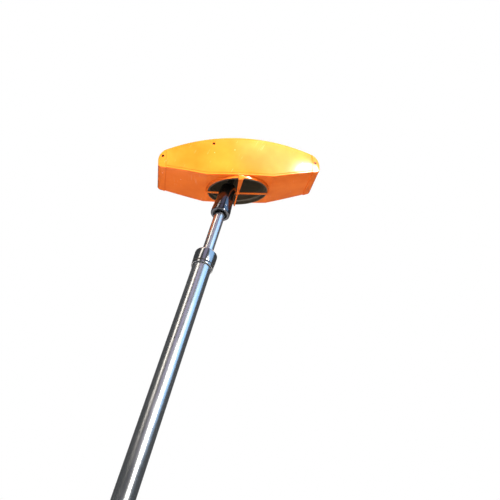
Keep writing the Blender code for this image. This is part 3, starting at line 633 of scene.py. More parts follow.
@dataclass(frozen=True)
class Lamp(Finish):
    """A small lit lamp dome, brighter at its middle."""

    glow: float = 1.5

    def pattern(self, graph: Graph) -> None:
        """A slightly mottled glow."""
        spots = graph.between(graph.noise(0.6), 0.3, 0.7)
        tint = graph.mixed(spots, linear(self.colour), shaded(self.colour, 0.7))
        graph.colour(tint)
        graph.tree.links.new(tint, graph.shader.inputs["Emission Color"])
        graph.shader.inputs["Emission Strength"].default_value = self.glow


class Kit(Enum):
    """Every finish on the receiver and its pole."""

    ENAMEL = Enamel("orange_enamel", "orange_enamel", "EF7626", 0.16, 1.42, coat=0.12)
    CHROME = Plated("drawn_chrome_tube", "chrome", "CDD0D6", 0.24, metallic=1.0)
    DARK_CHROME = Plated("black_chrome", "dark_chrome", "64666E", 0.15, metallic=1.0, haze=0.05)
    SMOKED_CHROME = Plated("smoked_chrome", "dark_chrome", "A6A8AE", 0.17, metallic=1.0, haze=0.05)
    GLOSS_BLACK = Moulded("polished_black_plastic", "gloss_black", "2C2A23", 0.34, 1.5, depth=0.004)
    # Painted reflection: the cup is the same gloss black plastic, drawn in a lighter olive grey that stands in
    # for the sheen seen inside the recess.
    CUP_BLACK_SHEEN = Moulded("cup_plastic_painted_sheen", "gloss_black", "4E4639", 0.42, 1.5, depth=0.004)
    SATIN_BLACK = Moulded("satin_black_moulding", "satin_black", "1B1B1C", 0.48, 1.5)
    NYLON = Moulded("black_nylon", "nylon", "222223", 0.42, 1.53, depth=0.01)
    RUBBER = Moulded("black_rubber", "rubber", "161616", 0.78, 1.52, grain=0.6, depth=0.03)
    FOAM = Foamed("foam_grip", "foam", "1B1B1C", 0.85, 1.45)
    STEEL = Machined("turned_steel", "steel", "9A9B9E", 0.26, metallic=1.0)
    DARK_STEEL = Machined("blackened_steel", "steel", "3A3733", 0.35, metallic=1.0)
    ALLOY = Machined("milled_aluminium", "alloy", "C4C7CB", 0.33, metallic=1.0, lines=(40, 1, 1))
    BRASS = Machined("plated_brass", "brass", "C9A24E", 0.28, metallic=1.0, lines=(1, 40, 1))
    BOARD = Board("solder_mask", "board", "10502C", 0.38, 1.55)
    CERAMIC = Moulded("fired_ceramic", "ceramic", "CDC1AA", 0.5, 1.6, grain=0.8, dust="B3A68C")
    WRAP = Moulded("shrink_wrap", "battery_wrap", "1E4A9A", 0.3, 1.5, grain=3.0, depth=0.01, dust="16366F")
    LENS = Clear("lamp_lens", "lens", "9FE8B0", 0.12, 1.49, through=0.55)
    FLUID = Clear("level_spirit", "vial_fluid", "B8E23C", 0.03, 1.36, through=0.85)
    GLASS = Clear("vial_glass", "vial_glass", "EEF4F2", 0.02, 1.5)
    MARK = Moulded("black_print", "satin_black", "0E0E0E", 0.6, 1.5)
    AIR = Clear("bubble", "vial_glass", "F6FFE0", 0.02, 1.1, through=0.6)
    GREEN_LAMP = Lamp("green_lamp", "lens", "55E06A", 0.3)
    AMBER_LAMP = Lamp("amber_lamp", "lens", "FFA63A", 0.3)
    BLUE_LAMP = Lamp("blue_lamp", "lens", "58B4FF", 0.3)


class Workshop:
    """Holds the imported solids, makes each finish once, and hands finished pieces to their bodies."""

    def __init__(self, nodes: dict[str, Piece]) -> None:
        """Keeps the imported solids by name."""
        self.nodes = nodes
        self.made: dict[Kit, bpy.types.Material] = {}

    def paint(self, piece: Piece, finish: Kit) -> None:
        """Gives a piece one finish all over."""
        if finish not in self.made:
            self.made[finish] = finish.value.make()
        piece.data.materials.clear()
        piece.data.materials.append(self.made[finish])

    def put(self, piece: Piece, body: Body, finish: Kit, *stands_for: str) -> Piece:
        """Finishes a new piece and hands it to its body.

        Args:
            piece: The new piece, in its place.
            body: The body that it moves with.
            finish: What it is made of.
            stands_for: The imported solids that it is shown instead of.

        Returns:
            The same piece.
        """
        self.paint(piece, finish)
        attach(piece, body.value)
        if stands_for:
            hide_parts(*stands_for)
        LOG.info("%s: %d faces, %s", piece.name, len(piece.data.polygons), finish.name.lower())
        return piece

    def keep(self, finish: Kit, *names: str) -> None:
        """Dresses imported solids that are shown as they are."""
        for name in names:
            self.paint(self.nodes[name], finish)
            LOG.info("%s kept, %s", name, finish.name.lower())

    def refine(self, node: str, body: Body, finish: Kit, width: float, degrees: float = 30.0) -> None:
        """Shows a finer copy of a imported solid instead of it, with edges rounded by a width in mm."""
        self.put(refined(self.nodes[node], f"{node}_fine", width, degrees), body, finish, node)


# ---- the head -------------------------------------------------------------------------------------------


@dataclass
class HeadShape:
    """The head's outline and where the head stands, with lengths in millimetres."""

    half_length: float = 111.0
    half_depth: float = 45.0
    end_half_depth: float = 34.7
    arch_top: float = 56.0
    arch_radius: float = 302.0
    corner_radius: float = 18.0
    crown: float = 6.0
    facet_half: float = 45.5
    belly_rise: float = 14.3
    panel_wall: float = 2.6
    shell_wall: float = 2.4
    cap_start: float = 100.7
    cap_proud: float = 0.5
    cap_drop: float = 0.9
    gap: float = 0.3
    pivot_depth: float = 38.6
    pivot_height: float = 800.0
    tilt: float = 24.2
    tilt_heading: float = -42.6
    fitting_height: float = 24.0
    button_x: float = -62.0
    lens_x: float = -36.0
    port_x: float = 60.0

    def __post_init__(self) -> None:
        """Works out the plan's radius and the corners' centres."""
        sag = self.half_depth - self.end_half_depth
        self.plan_radius = (self.half_length ** 2 + sag ** 2) / (2 * sag)
        self.corner_x = self.half_length - self.corner_radius
        inner = self.arch_radius - self.corner_radius
        self.corner_z = self.arch_top - self.arch_radius + math.sqrt(inner ** 2 - self.corner_x ** 2)
        self.tangent_x = self.corner_x * self.arch_radius / inner

    @property
    def pin(self) -> Vector:
        """The direction of the tilt pin."""
        turn = math.radians(self.tilt_heading)
        return Vector((math.cos(turn), math.sin(turn), 0.0))

    @property
    def frame(self) -> Matrix:
        """The head's own frame: X along it, Y to the rear, Z up from the belly's flat facet."""
        up = Matrix.Translation((0, 0, self.pivot_height * MM))
        down = Matrix.Translation((0, 0, -self.pivot_depth * MM))
        return up @ Matrix.Rotation(math.radians(self.tilt), 4, self.pin) @ down

    @property
    def pin_frame(self) -> Matrix:
        """A frame on the tilt pin, in the head's frame, whose Z runs along the pin."""
        turn = Matrix.Rotation(math.radians(self.tilt_heading), 4, "Z")
        return Matrix.Translation((0, 0, self.pivot_depth * MM)) @ turn @ Matrix.Rotation(math.pi / 2, 4, "Y")

    def depth(self, x: float) -> float:
        """Half the head's depth at a place along it."""
        return self.half_depth - self.plan_radius + math.sqrt(self.plan_radius ** 2 - x ** 2)

    def arch(self, x: float) -> float:
        """Height of the upper edge at a place along the head."""
        x = abs(x)
        if x <= self.tangent_x:
            return self.arch_top - self.arch_radius + math.sqrt(self.arch_radius ** 2 - x ** 2)
        return self.corner_z + math.sqrt(max(0.0, self.corner_radius ** 2 - (x - self.corner_x) ** 2))

    def belly(self, x: float) -> float:
        """Height of the underside, which is flat in the middle and rises to both ends."""
        return max(0.0, abs(x) - self.facet_half) * self.belly_rise / (self.half_length - self.facet_half)

    def dome(self, x: float, y: float) -> float:
        """How far the top shell rises above the upper edge."""
        return self.crown * (1 - (y / self.depth(x)) ** 2) * (1 - (x / (1.25 * self.half_length)) ** 2)

    def stations(self, fine: int = 1) -> list[float]:
        """Places along the long pieces, closer together at the belly's two creases."""
        end = self.cap_start - self.gap
        side = spread(self.facet_half + 0.6, end, 20 * fine)
        middle = spread(-self.facet_half + 0.6, self.facet_half - 0.6, 30 * fine)
        return [-x for x in reversed(side)] + [-self.facet_half] + middle + [self.facet_half] + side

    def on_face(self, x: float, z: float, side: Side, lift: float = 0.0) -> Matrix:
        """A frame on a long face of the head, in the row frame, with Z pointing out.

        Args:
            x: Place along the head.
            z: Height above the belly's flat facet.
            side: Which face.
            lift: Distance out from the face.

        Returns:
            The frame.
        """
        share = x / self.plan_radius
        out = Vector((share, side.value * math.sqrt(1 - share ** 2), 0.0))
        up = Vector((0.0, 0.0, 1.0))
        turn = Matrix((up.cross(out), up, out)).transposed().to_4x4()
        spot = Matrix.Translation(Vector((x, side.value * self.depth(x), z)) * MM)
        return self.frame @ spot @ turn @ Matrix.Translation((0, 0, lift * MM))


@dataclass
class Case:
    """The orange case: two bowed panels, a domed top, a belly in three facets and two end caps."""

    shape: HeadShape
    shop: Workshop
    edge: float = 0.55
    hole: float = 1.85
    button_hole: float = 6.35
    port_hole: float = 7.3
    ring_outer: float = 43.2
    tip_gap: float = 0.02
    front_screws: tuple[Place, ...] = ((-36, 46.5, 0), (-104.5, 29, 0.5), (105, 26, 0.5))
    rear_screws: tuple[Place, ...] = ((-92, 33, 0), (-25, 48, 0), (25, 48, 0), (92, 33, 0))

    def build(self) -> None:
        """Builds every shell, then its screws."""
        self.panel("rear_panel", Side.REAR, self.rear_screws, rear=True)
        self.panel("front_panel", Side.FRONT, self.front_screws[:1])
        self.top_shell()
        self.belly_cover()
        self.end_cap("end_cap_left", -1, self.front_screws[1])
        self.end_cap("end_cap_right", 1, self.front_screws[2])
        for number, spot in enumerate(self.front_screws, start=1):
            self.screw(f"front_screw_{number}", spot, Side.FRONT, Kit.DARK_STEEL)
        for number, spot in enumerate(self.rear_screws, start=1):
            self.screw(f"rear_screw_{number}", spot, Side.REAR, Kit.STEEL)

    def drill(self, piece: Piece, spot: Place, side: Side, radius: float, steps: int = 40) -> Piece:
        """Drills a round hole through a shell at (x, z, lift)."""
        tool = barrel("drill", (0, radius), (-6, 3), steps)
        return boolean(piece, settle(tool, self.shape.on_face(spot[0], spot[1], side, spot[2])))

    def panel(self, name: str, side: Side, screws: Iterable[Place], rear: bool = False) -> None:
        """Builds a bowed panel, with the rear one's openings for its fittings."""
        shape = self.shape
        rings = []
        for x in shape.stations():
            out, low = shape.depth(x), shape.belly(x) + shape.panel_wall + shape.gap
            inner = out - shape.panel_wall
            outline = softened([Corner(out, low, self.edge), Corner(out, shape.arch(x), self.edge),
                                Corner(inner, shape.arch(x)), Corner(inner, low)])
            rings.append([(x, side.value * y, z) for y, z in outline])
        piece = bevelled(lofted(f"{name}_fine", rings), 0.35, 60)
        settle(piece, shape.frame)
        for spot in screws:
            self.drill(piece, spot, side, self.hole)
        if rear:
            for x, radius in ((shape.button_x, self.button_hole), (shape.port_x, self.port_hole)):
                self.drill(piece, (x, shape.fitting_height, 0), side, radius, 96)
            slot = lofted("slot", stadium(5.5, 1.9, -5, 2))
            boolean(piece, settle(slot, shape.on_face(shape.lens_x, shape.fitting_height, side)))
        self.shop.put(piece, Body.HEAD, Kit.ENAMEL, name)

    def top_shell(self) -> None:
        """Builds the domed top, which fits between the panels."""
        shape = self.shape
        rings = []
        for x in shape.stations():
            half = shape.depth(x) - shape.panel_wall - shape.gap
            over = [(y, shape.arch(x) + shape.dome(x, y)) for y in spread(-half, half, 33)]
            rings.append([(x, y, z) for y, z in over] + [(x, y, z - shape.shell_wall) for y, z in over[::-1]])
        piece = bevelled(lofted("top_shell_fine", rings), 0.4, 50)
        self.shop.put(settle(piece, shape.frame), Body.HEAD, Kit.ENAMEL, "top_shell")

    def belly_cover(self) -> None:
        """Builds the underside with its round hole."""
        shape = self.shape
        rings = []
        for x in shape.stations():
            y, low = shape.depth(x), shape.belly(x)
            outline = softened([Corner(-y, low, self.edge), Corner(y, low, self.edge),
                                Corner(y, low + shape.panel_wall, 0.3),
                                Corner(-y, low + shape.panel_wall, 0.3)])
            rings.append([(x, a, z) for a, z in outline])
        piece = bevelled(lofted("belly_cover_fine", rings), 0.35, 60)
        radius = self.ring_outer + shape.gap
        boolean(piece, barrel("drill", (0, radius), (-9, 9), 160))
        smooth(settle(piece, shape.frame), 9)
        self.shop.put(piece, Body.HEAD, Kit.ENAMEL, "belly_cover")

    def cap_ring(self, x: float, side: int) -> list[Place]:
        """One ring of an end cap, at a place along the head."""
        shape = self.shape
        deep = shape.depth(x) + shape.cap_proud
        foot = 4.0
        into_foot = max(0.0, x - (shape.half_length - foot))
        low = shape.belly(x) - shape.cap_drop + foot - math.sqrt(max(0.0, foot ** 2 - into_foot ** 2))
        fade = (shape.half_length - x) / (shape.half_length - shape.cap_start)
        high = shape.arch(x)
        soft = min(0.9, 0.3 * (high - low))
        outline = [Corner(-deep, low, soft), Corner(deep, low, soft), Corner(deep, high, soft)]
        for y in spread(deep, -deep, 15)[1:-1]:
            outline.append(Corner(y, high + fade * shape.dome(x, y * shape.depth(x) / deep)))
        outline.append(Corner(-deep, high, soft))
        return [(side * x, y, z) for y, z in softened(outline)]

    def end_cap(self, name: str, side: int, screw: Place) -> None:
        """Builds an end cap: a skin round the tip, open towards the head, with a wall inside."""
        shape = self.shape
        ends = (shape.cap_start, shape.half_length - self.tip_gap)
        turn = [math.asin((x - shape.corner_x) / shape.corner_radius) for x in ends]
        along = [shape.corner_x + shape.corner_radius * math.sin(a) for a in spread(turn[0], turn[1], 22)]
        skin = lofted(f"{name}_fine", [self.cap_ring(x, side) for x in along], open_start=True)
        piece = bevelled(walled(skin, shape.shell_wall), 0.4, 60)
        settle(piece, shape.frame)
        self.drill(piece, screw, Side.FRONT, self.hole)
        self.shop.put(piece, Body.HEAD, Kit.ENAMEL, name)

    def screw(self, name: str, spot: Place, side: Side, finish: Kit) -> None:
        """Builds a small countersunk screw with a hexagon socket."""
        outline = [Corner(0, -6), Corner(0.9, -6), Corner(0.9, -2.2), Corner(1.7, -0.9, 0.1),
                   Corner(1.7, -0.1, 0.25), Corner(0, -0.1)]
        piece = turned(f"{name}_fine", outline, 40, closed=False)
        boolean(piece, barrel("key", (0, 0.85), (-1.3, 1), 6))
        frame = self.shape.on_face(spot[0], spot[1], side, spot[2])
        self.shop.put(settle(piece, frame), Body.HEAD, finish, name)


def stadium(half: float, radius: float, low: float, high: float) -> list[list[Place]]:
    """Two rings of an upright bar with round ends, half its straight length along X."""
    rim = [(half + radius * math.cos(a), radius * math.sin(a)) for a in spread(-math.pi / 2, math.pi / 2, 17)]
    rim += [(-x, -y) for x, y in rim]
    return [[(x, y, z) for x, y in rim] for z in (low, high)]


@dataclass
class Opening:
    """The round opening in the belly: its rim, the flat cross over it and the black cup inside."""

    shape: HeadShape
    shop: Workshop
    outer: float = 43.2
    inner: float = 42.0
    drop: float = 3.9
    rise: float = 2.6
    cup_outer: float = 41.7
    cup_inner: float = 40.4
    cup_body: float = 40.2
    cup_lip: float = 4.7
    cup_top: float = 50.0
    cup_wall: float = 1.5
    strap_widths: tuple[float, ...] = (3.6, 2.0, 3.6, 6.4)
    strap_thick: float = 1.4
    strap_bow: float = 0.5
    hub: float = 3.2

    def build(self) -> None:
        """Builds the rim with its cross, then the cup."""
        piece = barrel("rim_cross_fine", (self.inner, self.outer), (-self.drop, self.rise), 192,
                       (0.35, 0.6, 0))
        for quarter, width in enumerate(self.strap_widths):
            arm = lofted("arm", self.strap(width))
            boolean(piece, settle(arm, Matrix.Rotation(quarter * math.pi / 2, 4, "Z")), "UNION")
        middle = -self.cup_lip - 0.3 - self.strap_bow
        low, high = middle - self.strap_thick - 0.15, middle + 0.15
        boolean(piece, barrel("hub", (0, self.hub), (low, high), 48, (0, 0.3, 0.3)), "UNION")
        self.shop.put(settle(piece, self.shape.frame), Body.HEAD, Kit.ENAMEL, "rim_cross")
        self.cup()

    def strap(self, width: float) -> list[list[Place]]:
        """Rings of one arm, of a width at the rim: it bows down a little and hooks over the rim."""
        seat, start = -self.cup_lip - 0.3, min(width, self.strap_widths[0])
        steps = []
        for part in spread(0.0, 1.0, 15):
            top, half = seat - self.strap_bow * (1 - part ** 2), (start + (width - start) * part) / 2
            steps.append((2.2 + part * (self.inner - 2.2), half, top, top - self.strap_thick))
        half = width / 2
        steps += [(self.inner + 0.1, half, -0.3, seat - self.strap_thick),
                  (self.outer + 0.4, half, -0.3, seat - self.strap_thick + 0.1),
                  (self.outer + 0.7, half, -0.3, seat - self.strap_thick + 0.7),
                  (self.outer + 1.4, half, -0.3, -1.3)]
        return [[(x, y, z) for y, z in softened([Corner(-half, low, 0.3), Corner(half, low, 0.3),
                                                 Corner(half, top, 0.3), Corner(-half, top, 0.3)], steps=4)]
                for x, half, top, low in steps]

    def cup(self) -> None:
        """Builds the black cup that lines the opening."""
        ceiling = self.cup_top - self.cup_wall
        outline = [Corner(0, self.cup_top), Corner(self.cup_body, self.cup_top, 6.5),
                   Corner(self.cup_body, 1.8, 0.5), Corner(self.cup_outer, 0.2, 0.5),
                   Corner(self.cup_outer, -self.cup_lip, 0.4), Corner(self.cup_inner, -self.cup_lip, 0.4),
                   Corner(self.cup_inner, -0.2, 0.5), Corner(self.cup_body - 1.4, 1.4, 0.5),
                   Corner(self.cup_body - 1.4, 8.0), Corner(self.cup_body - 1.75, 8.4),
                   Corner(self.cup_body - 1.75, ceiling, 5.0), Corner(0, ceiling)]
        piece = turned("recess_cup_fine", outline, 160, closed=False)
        # The cup's lighter colour is painted reflection on black plastic.
        self.shop.put(settle(piece, self.shape.frame), Body.HEAD, Kit.CUP_BLACK_SHEEN, "recess_cup")


@dataclass
class TiltJoint:
    """The clevis in the recess and the pin, discs, screws and neck that hang the head on the pole."""

    shape: HeadShape
    shop: Workshop

    def build(self) -> None:
        """Shows the joint's solids with rounded edges, and turns the pin afresh with its screwdriver slot."""
        self.shop.refine("clevis_bracket", Body.HEAD, Kit.SATIN_BLACK, 0.5)
        self.shop.refine("tilt_neck", Body.COLLAR, Kit.GLOSS_BLACK, 0.3, 35)
        for name in ("friction_disc_left", "friction_disc_right"):
            self.shop.refine(name, Body.HEAD, Kit.NYLON, 0.12, 40)
        for name in ("clevis_screw_left", "clevis_screw_right"):
            self.shop.refine(name, Body.HEAD, Kit.STEEL, 0.25, 40)
        end, shank = 10.2, 8.6
        outline = [Corner(0, -end), Corner(4.2, -end, 0.6), Corner(4.2, -shank), Corner(2.5, -shank),
                   Corner(2.5, shank), Corner(4.2, shank), Corner(4.2, end, 0.6), Corner(0, end)]
        piece = turned("tilt_pin_fine", outline, 48, closed=False)
        boolean(piece, lofted("slot", slab((-5, -0.5, end - 0.8), (5, 0.5, end + 1))))
        settle(piece, self.shape.frame @ self.shape.pin_frame)
        self.shop.put(piece, Body.HEAD, Kit.STEEL, "tilt_pin")


@dataclass
class RearFittings:
    """The power button, the status lamps behind their lens and the data port with its hinged cover."""

    shape: HeadShape
    shop: Workshop

    def build(self) -> None:
        """Builds the three fittings."""
        self.button()
        self.lamps()
        self.port()

    def button(self) -> None:
        """Builds the dished button with its ring groove and raised bar, and keeps its switch."""
        outline = [Corner(0, -4.6), Corner(7.4, -4.6, 0.2), Corner(7.4, -2.9, 0.2), Corner(6, -2.9),
                   Corner(6, 1.3, 0.9), Corner(4.6, 1.3, 0.2), Corner(4.4, 1.0, 0.1), Corner(4.1, 1.0, 0.1),
                   Corner(3.9, 1.2, 0.2), Corner(3.2, 0.85, 1.0), Corner(0, 0.7)]
        frame = self.shape.on_face(self.shape.button_x, self.shape.fitting_height, Side.REAR)
        piece = turned("power_button_fine", outline, 72, closed=False)
        self.shop.put(settle(piece, frame), Body.BUTTON, Kit.SATIN_BLACK, "power_button")
        bar = bevelled(lofted("power_mark", stadium(0.0, 0.28, 0.55, 0.95)), 0.06, 40, 2)
        self.shop.put(settle(bar, frame), Body.BUTTON, Kit.CERAMIC)

    def lamps(self) -> None:
        """Builds the long lens and three lamp domes on it."""
        frame = self.shape.on_face(self.shape.lens_x, self.shape.fitting_height, Side.REAR)
        lens = bevelled(lofted("status_lens_fine", stadium(5.5, 1.6, -3.4, 0.1)), 0.3, 40)
        self.shop.put(settle(lens, frame), Body.HEAD, Kit.LENS, "status_lens")
        for x, finish in ((-4.6, Kit.GREEN_LAMP), (0.0, Kit.AMBER_LAMP), (4.6, Kit.BLUE_LAMP)):
            outline = [Corner(0, -0.4), Corner(0.95, -0.4), Corner(0.95, 0.25, 0.4), Corner(0.3, 0.5, 0.3),
                       Corner(0, 0.5)]
            dome = turned(f"{finish.value.name}_dome", outline, 32, closed=False)
            self.shop.put(settle(dome, frame @ Matrix.Translation((x * MM, 0, 0))), Body.HEAD, finish)

    def port(self) -> None:
        """Shows the port and its cover with rounded edges, and adds the cover's finger ribs."""
        frame = self.shape.on_face(self.shape.port_x, self.shape.fitting_height, Side.REAR)
        self.shop.refine("data_port", Body.HEAD, Kit.STEEL, 0.2, 35)
        self.shop.refine("port_cover", Body.COVER, Kit.RUBBER, 0.25, 35)
        self.shop.refine("port_contacts", Body.HEAD, Kit.NYLON, 0.1, 40)
        self.shop.refine("port_hinge_pin", Body.HEAD, Kit.STEEL, 0.12, 40)
        for y in (-3.0, 0.0, 3.0):
            half = math.sqrt(6.2 ** 2 - y ** 2) - 0.5
            rib = bevelled(lofted(f"cover_rib_{int(y + 4)}", stadium(half, 0.5, 4.2, 4.85)), 0.2, 40, 2)
            self.shop.put(settle(rib, frame @ Matrix.Translation((0, y * MM, 0))), Body.COVER, Kit.RUBBER)


# ---- the pole -------------------------------------------------------------------------------------------


@dataclass
class Collar:
    """The tapered collar that turns on the upper tube, with the bush at its foot."""

    shop: Workshop
    foot: float = 699.5
    top: float = 752.2
    bore: float = 8.8
    radius: float = 12.9

    def build(self) -> None:
        """Builds the collar with its bead and groove, and shows the bush's lip."""
        foot, top, bore, radius = self.foot, self.top, self.bore, self.radius
        outline = [Corner(bore, foot + 1.2), Corner(bore + 0.7, foot, 0.2), Corner(radius, foot, 5.6),
                   Corner(radius, foot + 8.2, 1.0), Corner(12.5, foot + 8.7, 0.2),
                   Corner(12.7, foot + 9.2, 0.3), Corner(10.25, top, 2.8), Corner(3.2, top, 0.3),
                   Corner(3.2, 737), Corner(bore, 737)]
        self.shop.put(turned("tilt_collar_fine", outline, 128), Body.COLLAR, Kit.DARK_CHROME, "tilt_collar")
        bush = barrel("swivel_bush_fine", (7.4, 8.5), (702, 732.8), 96, (0.3, 0.3, 0))
        self.shop.put(bush, Body.COLLAR, Kit.NYLON, "swivel_bush")


@dataclass
class Pole:
    """The two tubes, the lock ring between them, the grip, the ferrule and the foot."""

    shop: Workshop
    upper_radius: float = 7.1
    upper_wall: float = 1.0
    upper_foot: float = 228.0
    upper_top: float = 733.5
    lower_radius: float = 12.1
    lower_wall: float = 1.2
    lower_foot: float = 30.0
    lower_top: float = 610.0
    lock_radius: float = 14.5
    lock_bore: float = 12.6
    lock_foot: float = 604.6
    lock_top: float = 628.5
    grip_foot: float = 85.0
    grip_top: float = 205.0
    grip_radius: float = 16.5
    ridges: int = 6

    def build(self) -> None:
        """Builds every piece of the pole."""
        self.tubes()
        self.lock_ring()
        self.grip()
        self.foot()

    def tubes(self) -> None:
        """Builds the upper and the lower tube, each with softened ends."""
        soft = (0, 0.2, 0.3)
        upper = barrel("upper_tube_fine", (self.upper_radius - self.upper_wall, self.upper_radius),
                       (self.upper_foot, self.upper_top), 96, soft)
        self.shop.put(upper, Body.UPPER, Kit.CHROME, "upper_tube")
        lower = barrel("lower_tube_fine", (self.lower_radius - self.lower_wall, self.lower_radius),
                       (self.lower_foot, self.lower_top), 128, soft)
        self.shop.put(lower, Body.LOWER, Kit.CHROME, "lower_tube")

    def lock_ring(self) -> None:
        """Builds the lock ring: round shoulder, smooth barrel, and a rubber seal in the foot's groove."""
        foot, top, radius, bore = self.lock_foot, self.lock_top, self.lock_radius, self.lock_bore
        neck, groove = self.upper_radius + 0.3, radius - 1.1
        outline = [Corner(bore, foot, 0.2), Corner(radius - 0.6, foot, 0.6),
                   Corner(radius - 0.5, foot + 3.0, 0.15), Corner(groove, foot + 3.0),
                   Corner(groove, foot + 4.8), Corner(radius - 0.5, foot + 4.8, 0.15),
                   Corner(radius - 0.1, top - 11.0, 6.0), Corner(radius, top, 5.2),
                   Corner(neck + 0.9, top, 0.4), Corner(neck, top - 0.9), Corner(neck, top - 5.5),
                   Corner(bore, top - 8.5)]
        piece = turned("lock_ring_fine", outline, 160)
        self.shop.put(piece, Body.LOCK, Kit.SMOKED_CHROME, "lock_ring")
        seal = barrel("lock_ring_seal", (radius - 1.05, radius - 0.6), (foot + 3.05, foot + 4.75), 128,
                      (0, 0.4, 0.4))
        self.shop.put(seal, Body.LOCK, Kit.RUBBER)

    def grip(self) -> None:
        """Builds the foam grip with its soft ridges."""
        sleeve, valley = self.lower_radius + 0.3, self.grip_radius - 1.4
        outline = [Corner(sleeve, self.grip_foot), Corner(valley, self.grip_foot, 0.8)]
        centres = spread(self.grip_foot + 9, self.grip_top - 9, self.ridges)
        for z in centres:
            outline += [Corner(self.grip_radius, z - 7.4, 1.8), Corner(self.grip_radius, z + 7.4, 1.8)]
            if z != centres[-1]:
                outline += [Corner(valley, z + 8.8, 0.8), Corner(valley, z + 11.6, 0.8)]
        outline += [Corner(valley, self.grip_top, 0.8), Corner(sleeve, self.grip_top)]
        piece = turned("grip_sleeve_fine", outline, 96)
        self.shop.put(piece, Body.LOWER, Kit.FOAM, "grip_sleeve")

    def foot(self) -> None:
        """Builds the ferrule and the rubber foot."""
        sleeve = self.lower_radius + 0.3
        ferrule = [Corner(0, 6.3), Corner(14.5, 6.3, 0.3), Corner(15.5, 7.3, 0.4), Corner(15.5, 9.5, 0.8),
                   Corner(12.8, 17, 1.5), Corner(12.8, 20, 0.8), Corner(14.6, 22, 0.8), Corner(14.6, 30, 0.3),
                   Corner(14.2, 30.6, 0.2), Corner(14.2, 31.6, 0.2), Corner(14.6, 32.2, 0.3),
                   Corner(14.6, 56, 1.6), Corner(13.2, 60, 0.5), Corner(sleeve, 60, 0.2),
                   Corner(sleeve, 29.7), Corner(0, 29.7)]
        self.shop.put(turned("foot_ferrule_fine", ferrule, 128, closed=False), Body.LOWER, Kit.GLOSS_BLACK,
                      "foot_ferrule")
        pad = [Corner(0, 0), Corner(15.5, 0, 0.4), Corner(17, 1.5, 0.8), Corner(17, 2.6, 0.2),
               Corner(16.6, 2.9, 0.1), Corner(16.6, 3.3, 0.1), Corner(17, 3.6, 0.2), Corner(17, 5.0, 0.5),
               Corner(16, 6.0, 0.4), Corner(0, 6)]
        self.shop.put(turned("foot_pad_fine", pad, 128, closed=False), Body.LOWER, Kit.RUBBER, "foot_pad")


@dataclass
class Level:
    """The round level on its bracket: spirit, bubble, printed circle and domed window."""

    shop: Workshop
    seat_x: float = 36.0
    floor: float = 243.3
    radius: float = 9.9

    def build(self) -> None:
        """Builds the bracket, then the vial's pieces from the bottom up."""
        place = Matrix.Translation((self.seat_x * MM, 0, 0))
        self.shop.refine("level_bracket", Body.LOWER, Kit.SATIN_BLACK, 0.6, 35)
        low, full = self.floor, self.floor + 5.0
        spirit = barrel("level_fluid_fine", (0, self.radius), (low, full), 96, (0, 0.3, 0.2))
        self.shop.put(settle(spirit, place), Body.LOWER, Kit.FLUID, "level_fluid")
        outline = [Corner(0, full - 1.6), Corner(2.6, full - 1.5, 0.8), Corner(2.9, full - 0.3, 0.8),
                   Corner(0, full - 0.15)]
        bubble = turned("level_bubble", outline, 64, closed=False)
        self.shop.put(settle(bubble, place), Body.LOWER, Kit.AIR)
        mark = barrel("level_circle", (3.7, 4.3), (full + 0.02, full + 0.12), 96)
        self.shop.put(settle(mark, place), Body.LOWER, Kit.MARK)
        base = full + 0.3
        outline = [Corner(0, base), Corner(self.radius, base, 0.1), Corner(self.radius, base + 1.3, 0.5),
                   Corner(6.0, base + 2.1, 3.0), Corner(0, base + 2.5)]
        window = turned("level_window_fine", outline, 96, closed=False)
        self.shop.put(settle(window, place), Body.LOWER, Kit.GLASS, "level_window")


@dataclass
class Insides:
    """What the case and the tubes hide, shown as packed and dressed in what it is made of."""

    shop: Workshop
    finishes: dict[Kit, tuple[str, ...]] = field(default_factory=lambda: {
        Kit.RUBBER: ("gasket_front", "gasket_rear"),
        Kit.ALLOY: ("bulkhead_left", "bulkhead_right", "shield_can"),
        Kit.BRASS: ("antenna_ground",),
        Kit.CERAMIC: ("patch_antenna",),
        Kit.BOARD: ("main_board",),
        Kit.NYLON: ("board_rail_inner", "board_rail_outer", "power_switch", "guide_bush", "split_collet",
                    "tube_plug", "radio_module"),
        Kit.SATIN_BLACK: ("battery_holder",),
        Kit.WRAP: ("battery_cell_inner", "battery_cell_outer"),
        Kit.STEEL: ("swivel_plug",),
    })

    def build(self) -> None:
        """Dresses every inner solid."""
        for finish, names in self.finishes.items():
            self.shop.keep(finish, *names)


# ---- the studio -----------------------------------------------------------------------------------------


@dataclass(frozen=True)
class Softbox:
    """A soft light panel: where it hangs, as a bearing, a height angle and a distance from the subject.

    A panel that isn't mirrored lights the receiver without showing in its reflections. The cone is the angle
    in degrees that the light keeps to.
    """

    name: str
    bearing: float
    height: float
    distance: float
    width: float
    length: float
    power: float
    colour: str = "FFFFFF"
    aim: Place = (0.0, 0.0, 0.6)
    mirrored: bool = True
    cone: float = 180.0

    def hang(self) -> None:
        """Adds the panel, turned to its aim and hidden from the camera itself."""
        around, up = math.radians(self.bearing), math.radians(self.height)
        away = Vector((math.sin(around) * math.cos(up), -math.cos(around) * math.cos(up), math.sin(up)))
        bpy.ops.object.light_add(type="AREA", location=Vector(self.aim) + away * self.distance)
        lamp = bpy.context.object
        lamp.name = self.name
        lamp.rotation_euler = away.to_track_quat("Z", "Y").to_euler()
        lamp.data.shape = "RECTANGLE"
        lamp.data.size, lamp.data.size_y = self.width, self.length
        lamp.data.energy = self.power
        lamp.data.spread = math.radians(self.cone)
        lamp.data.color = linear(self.colour)[:3]
        lamp.visible_camera = False
        lamp.visible_glossy = self.mirrored


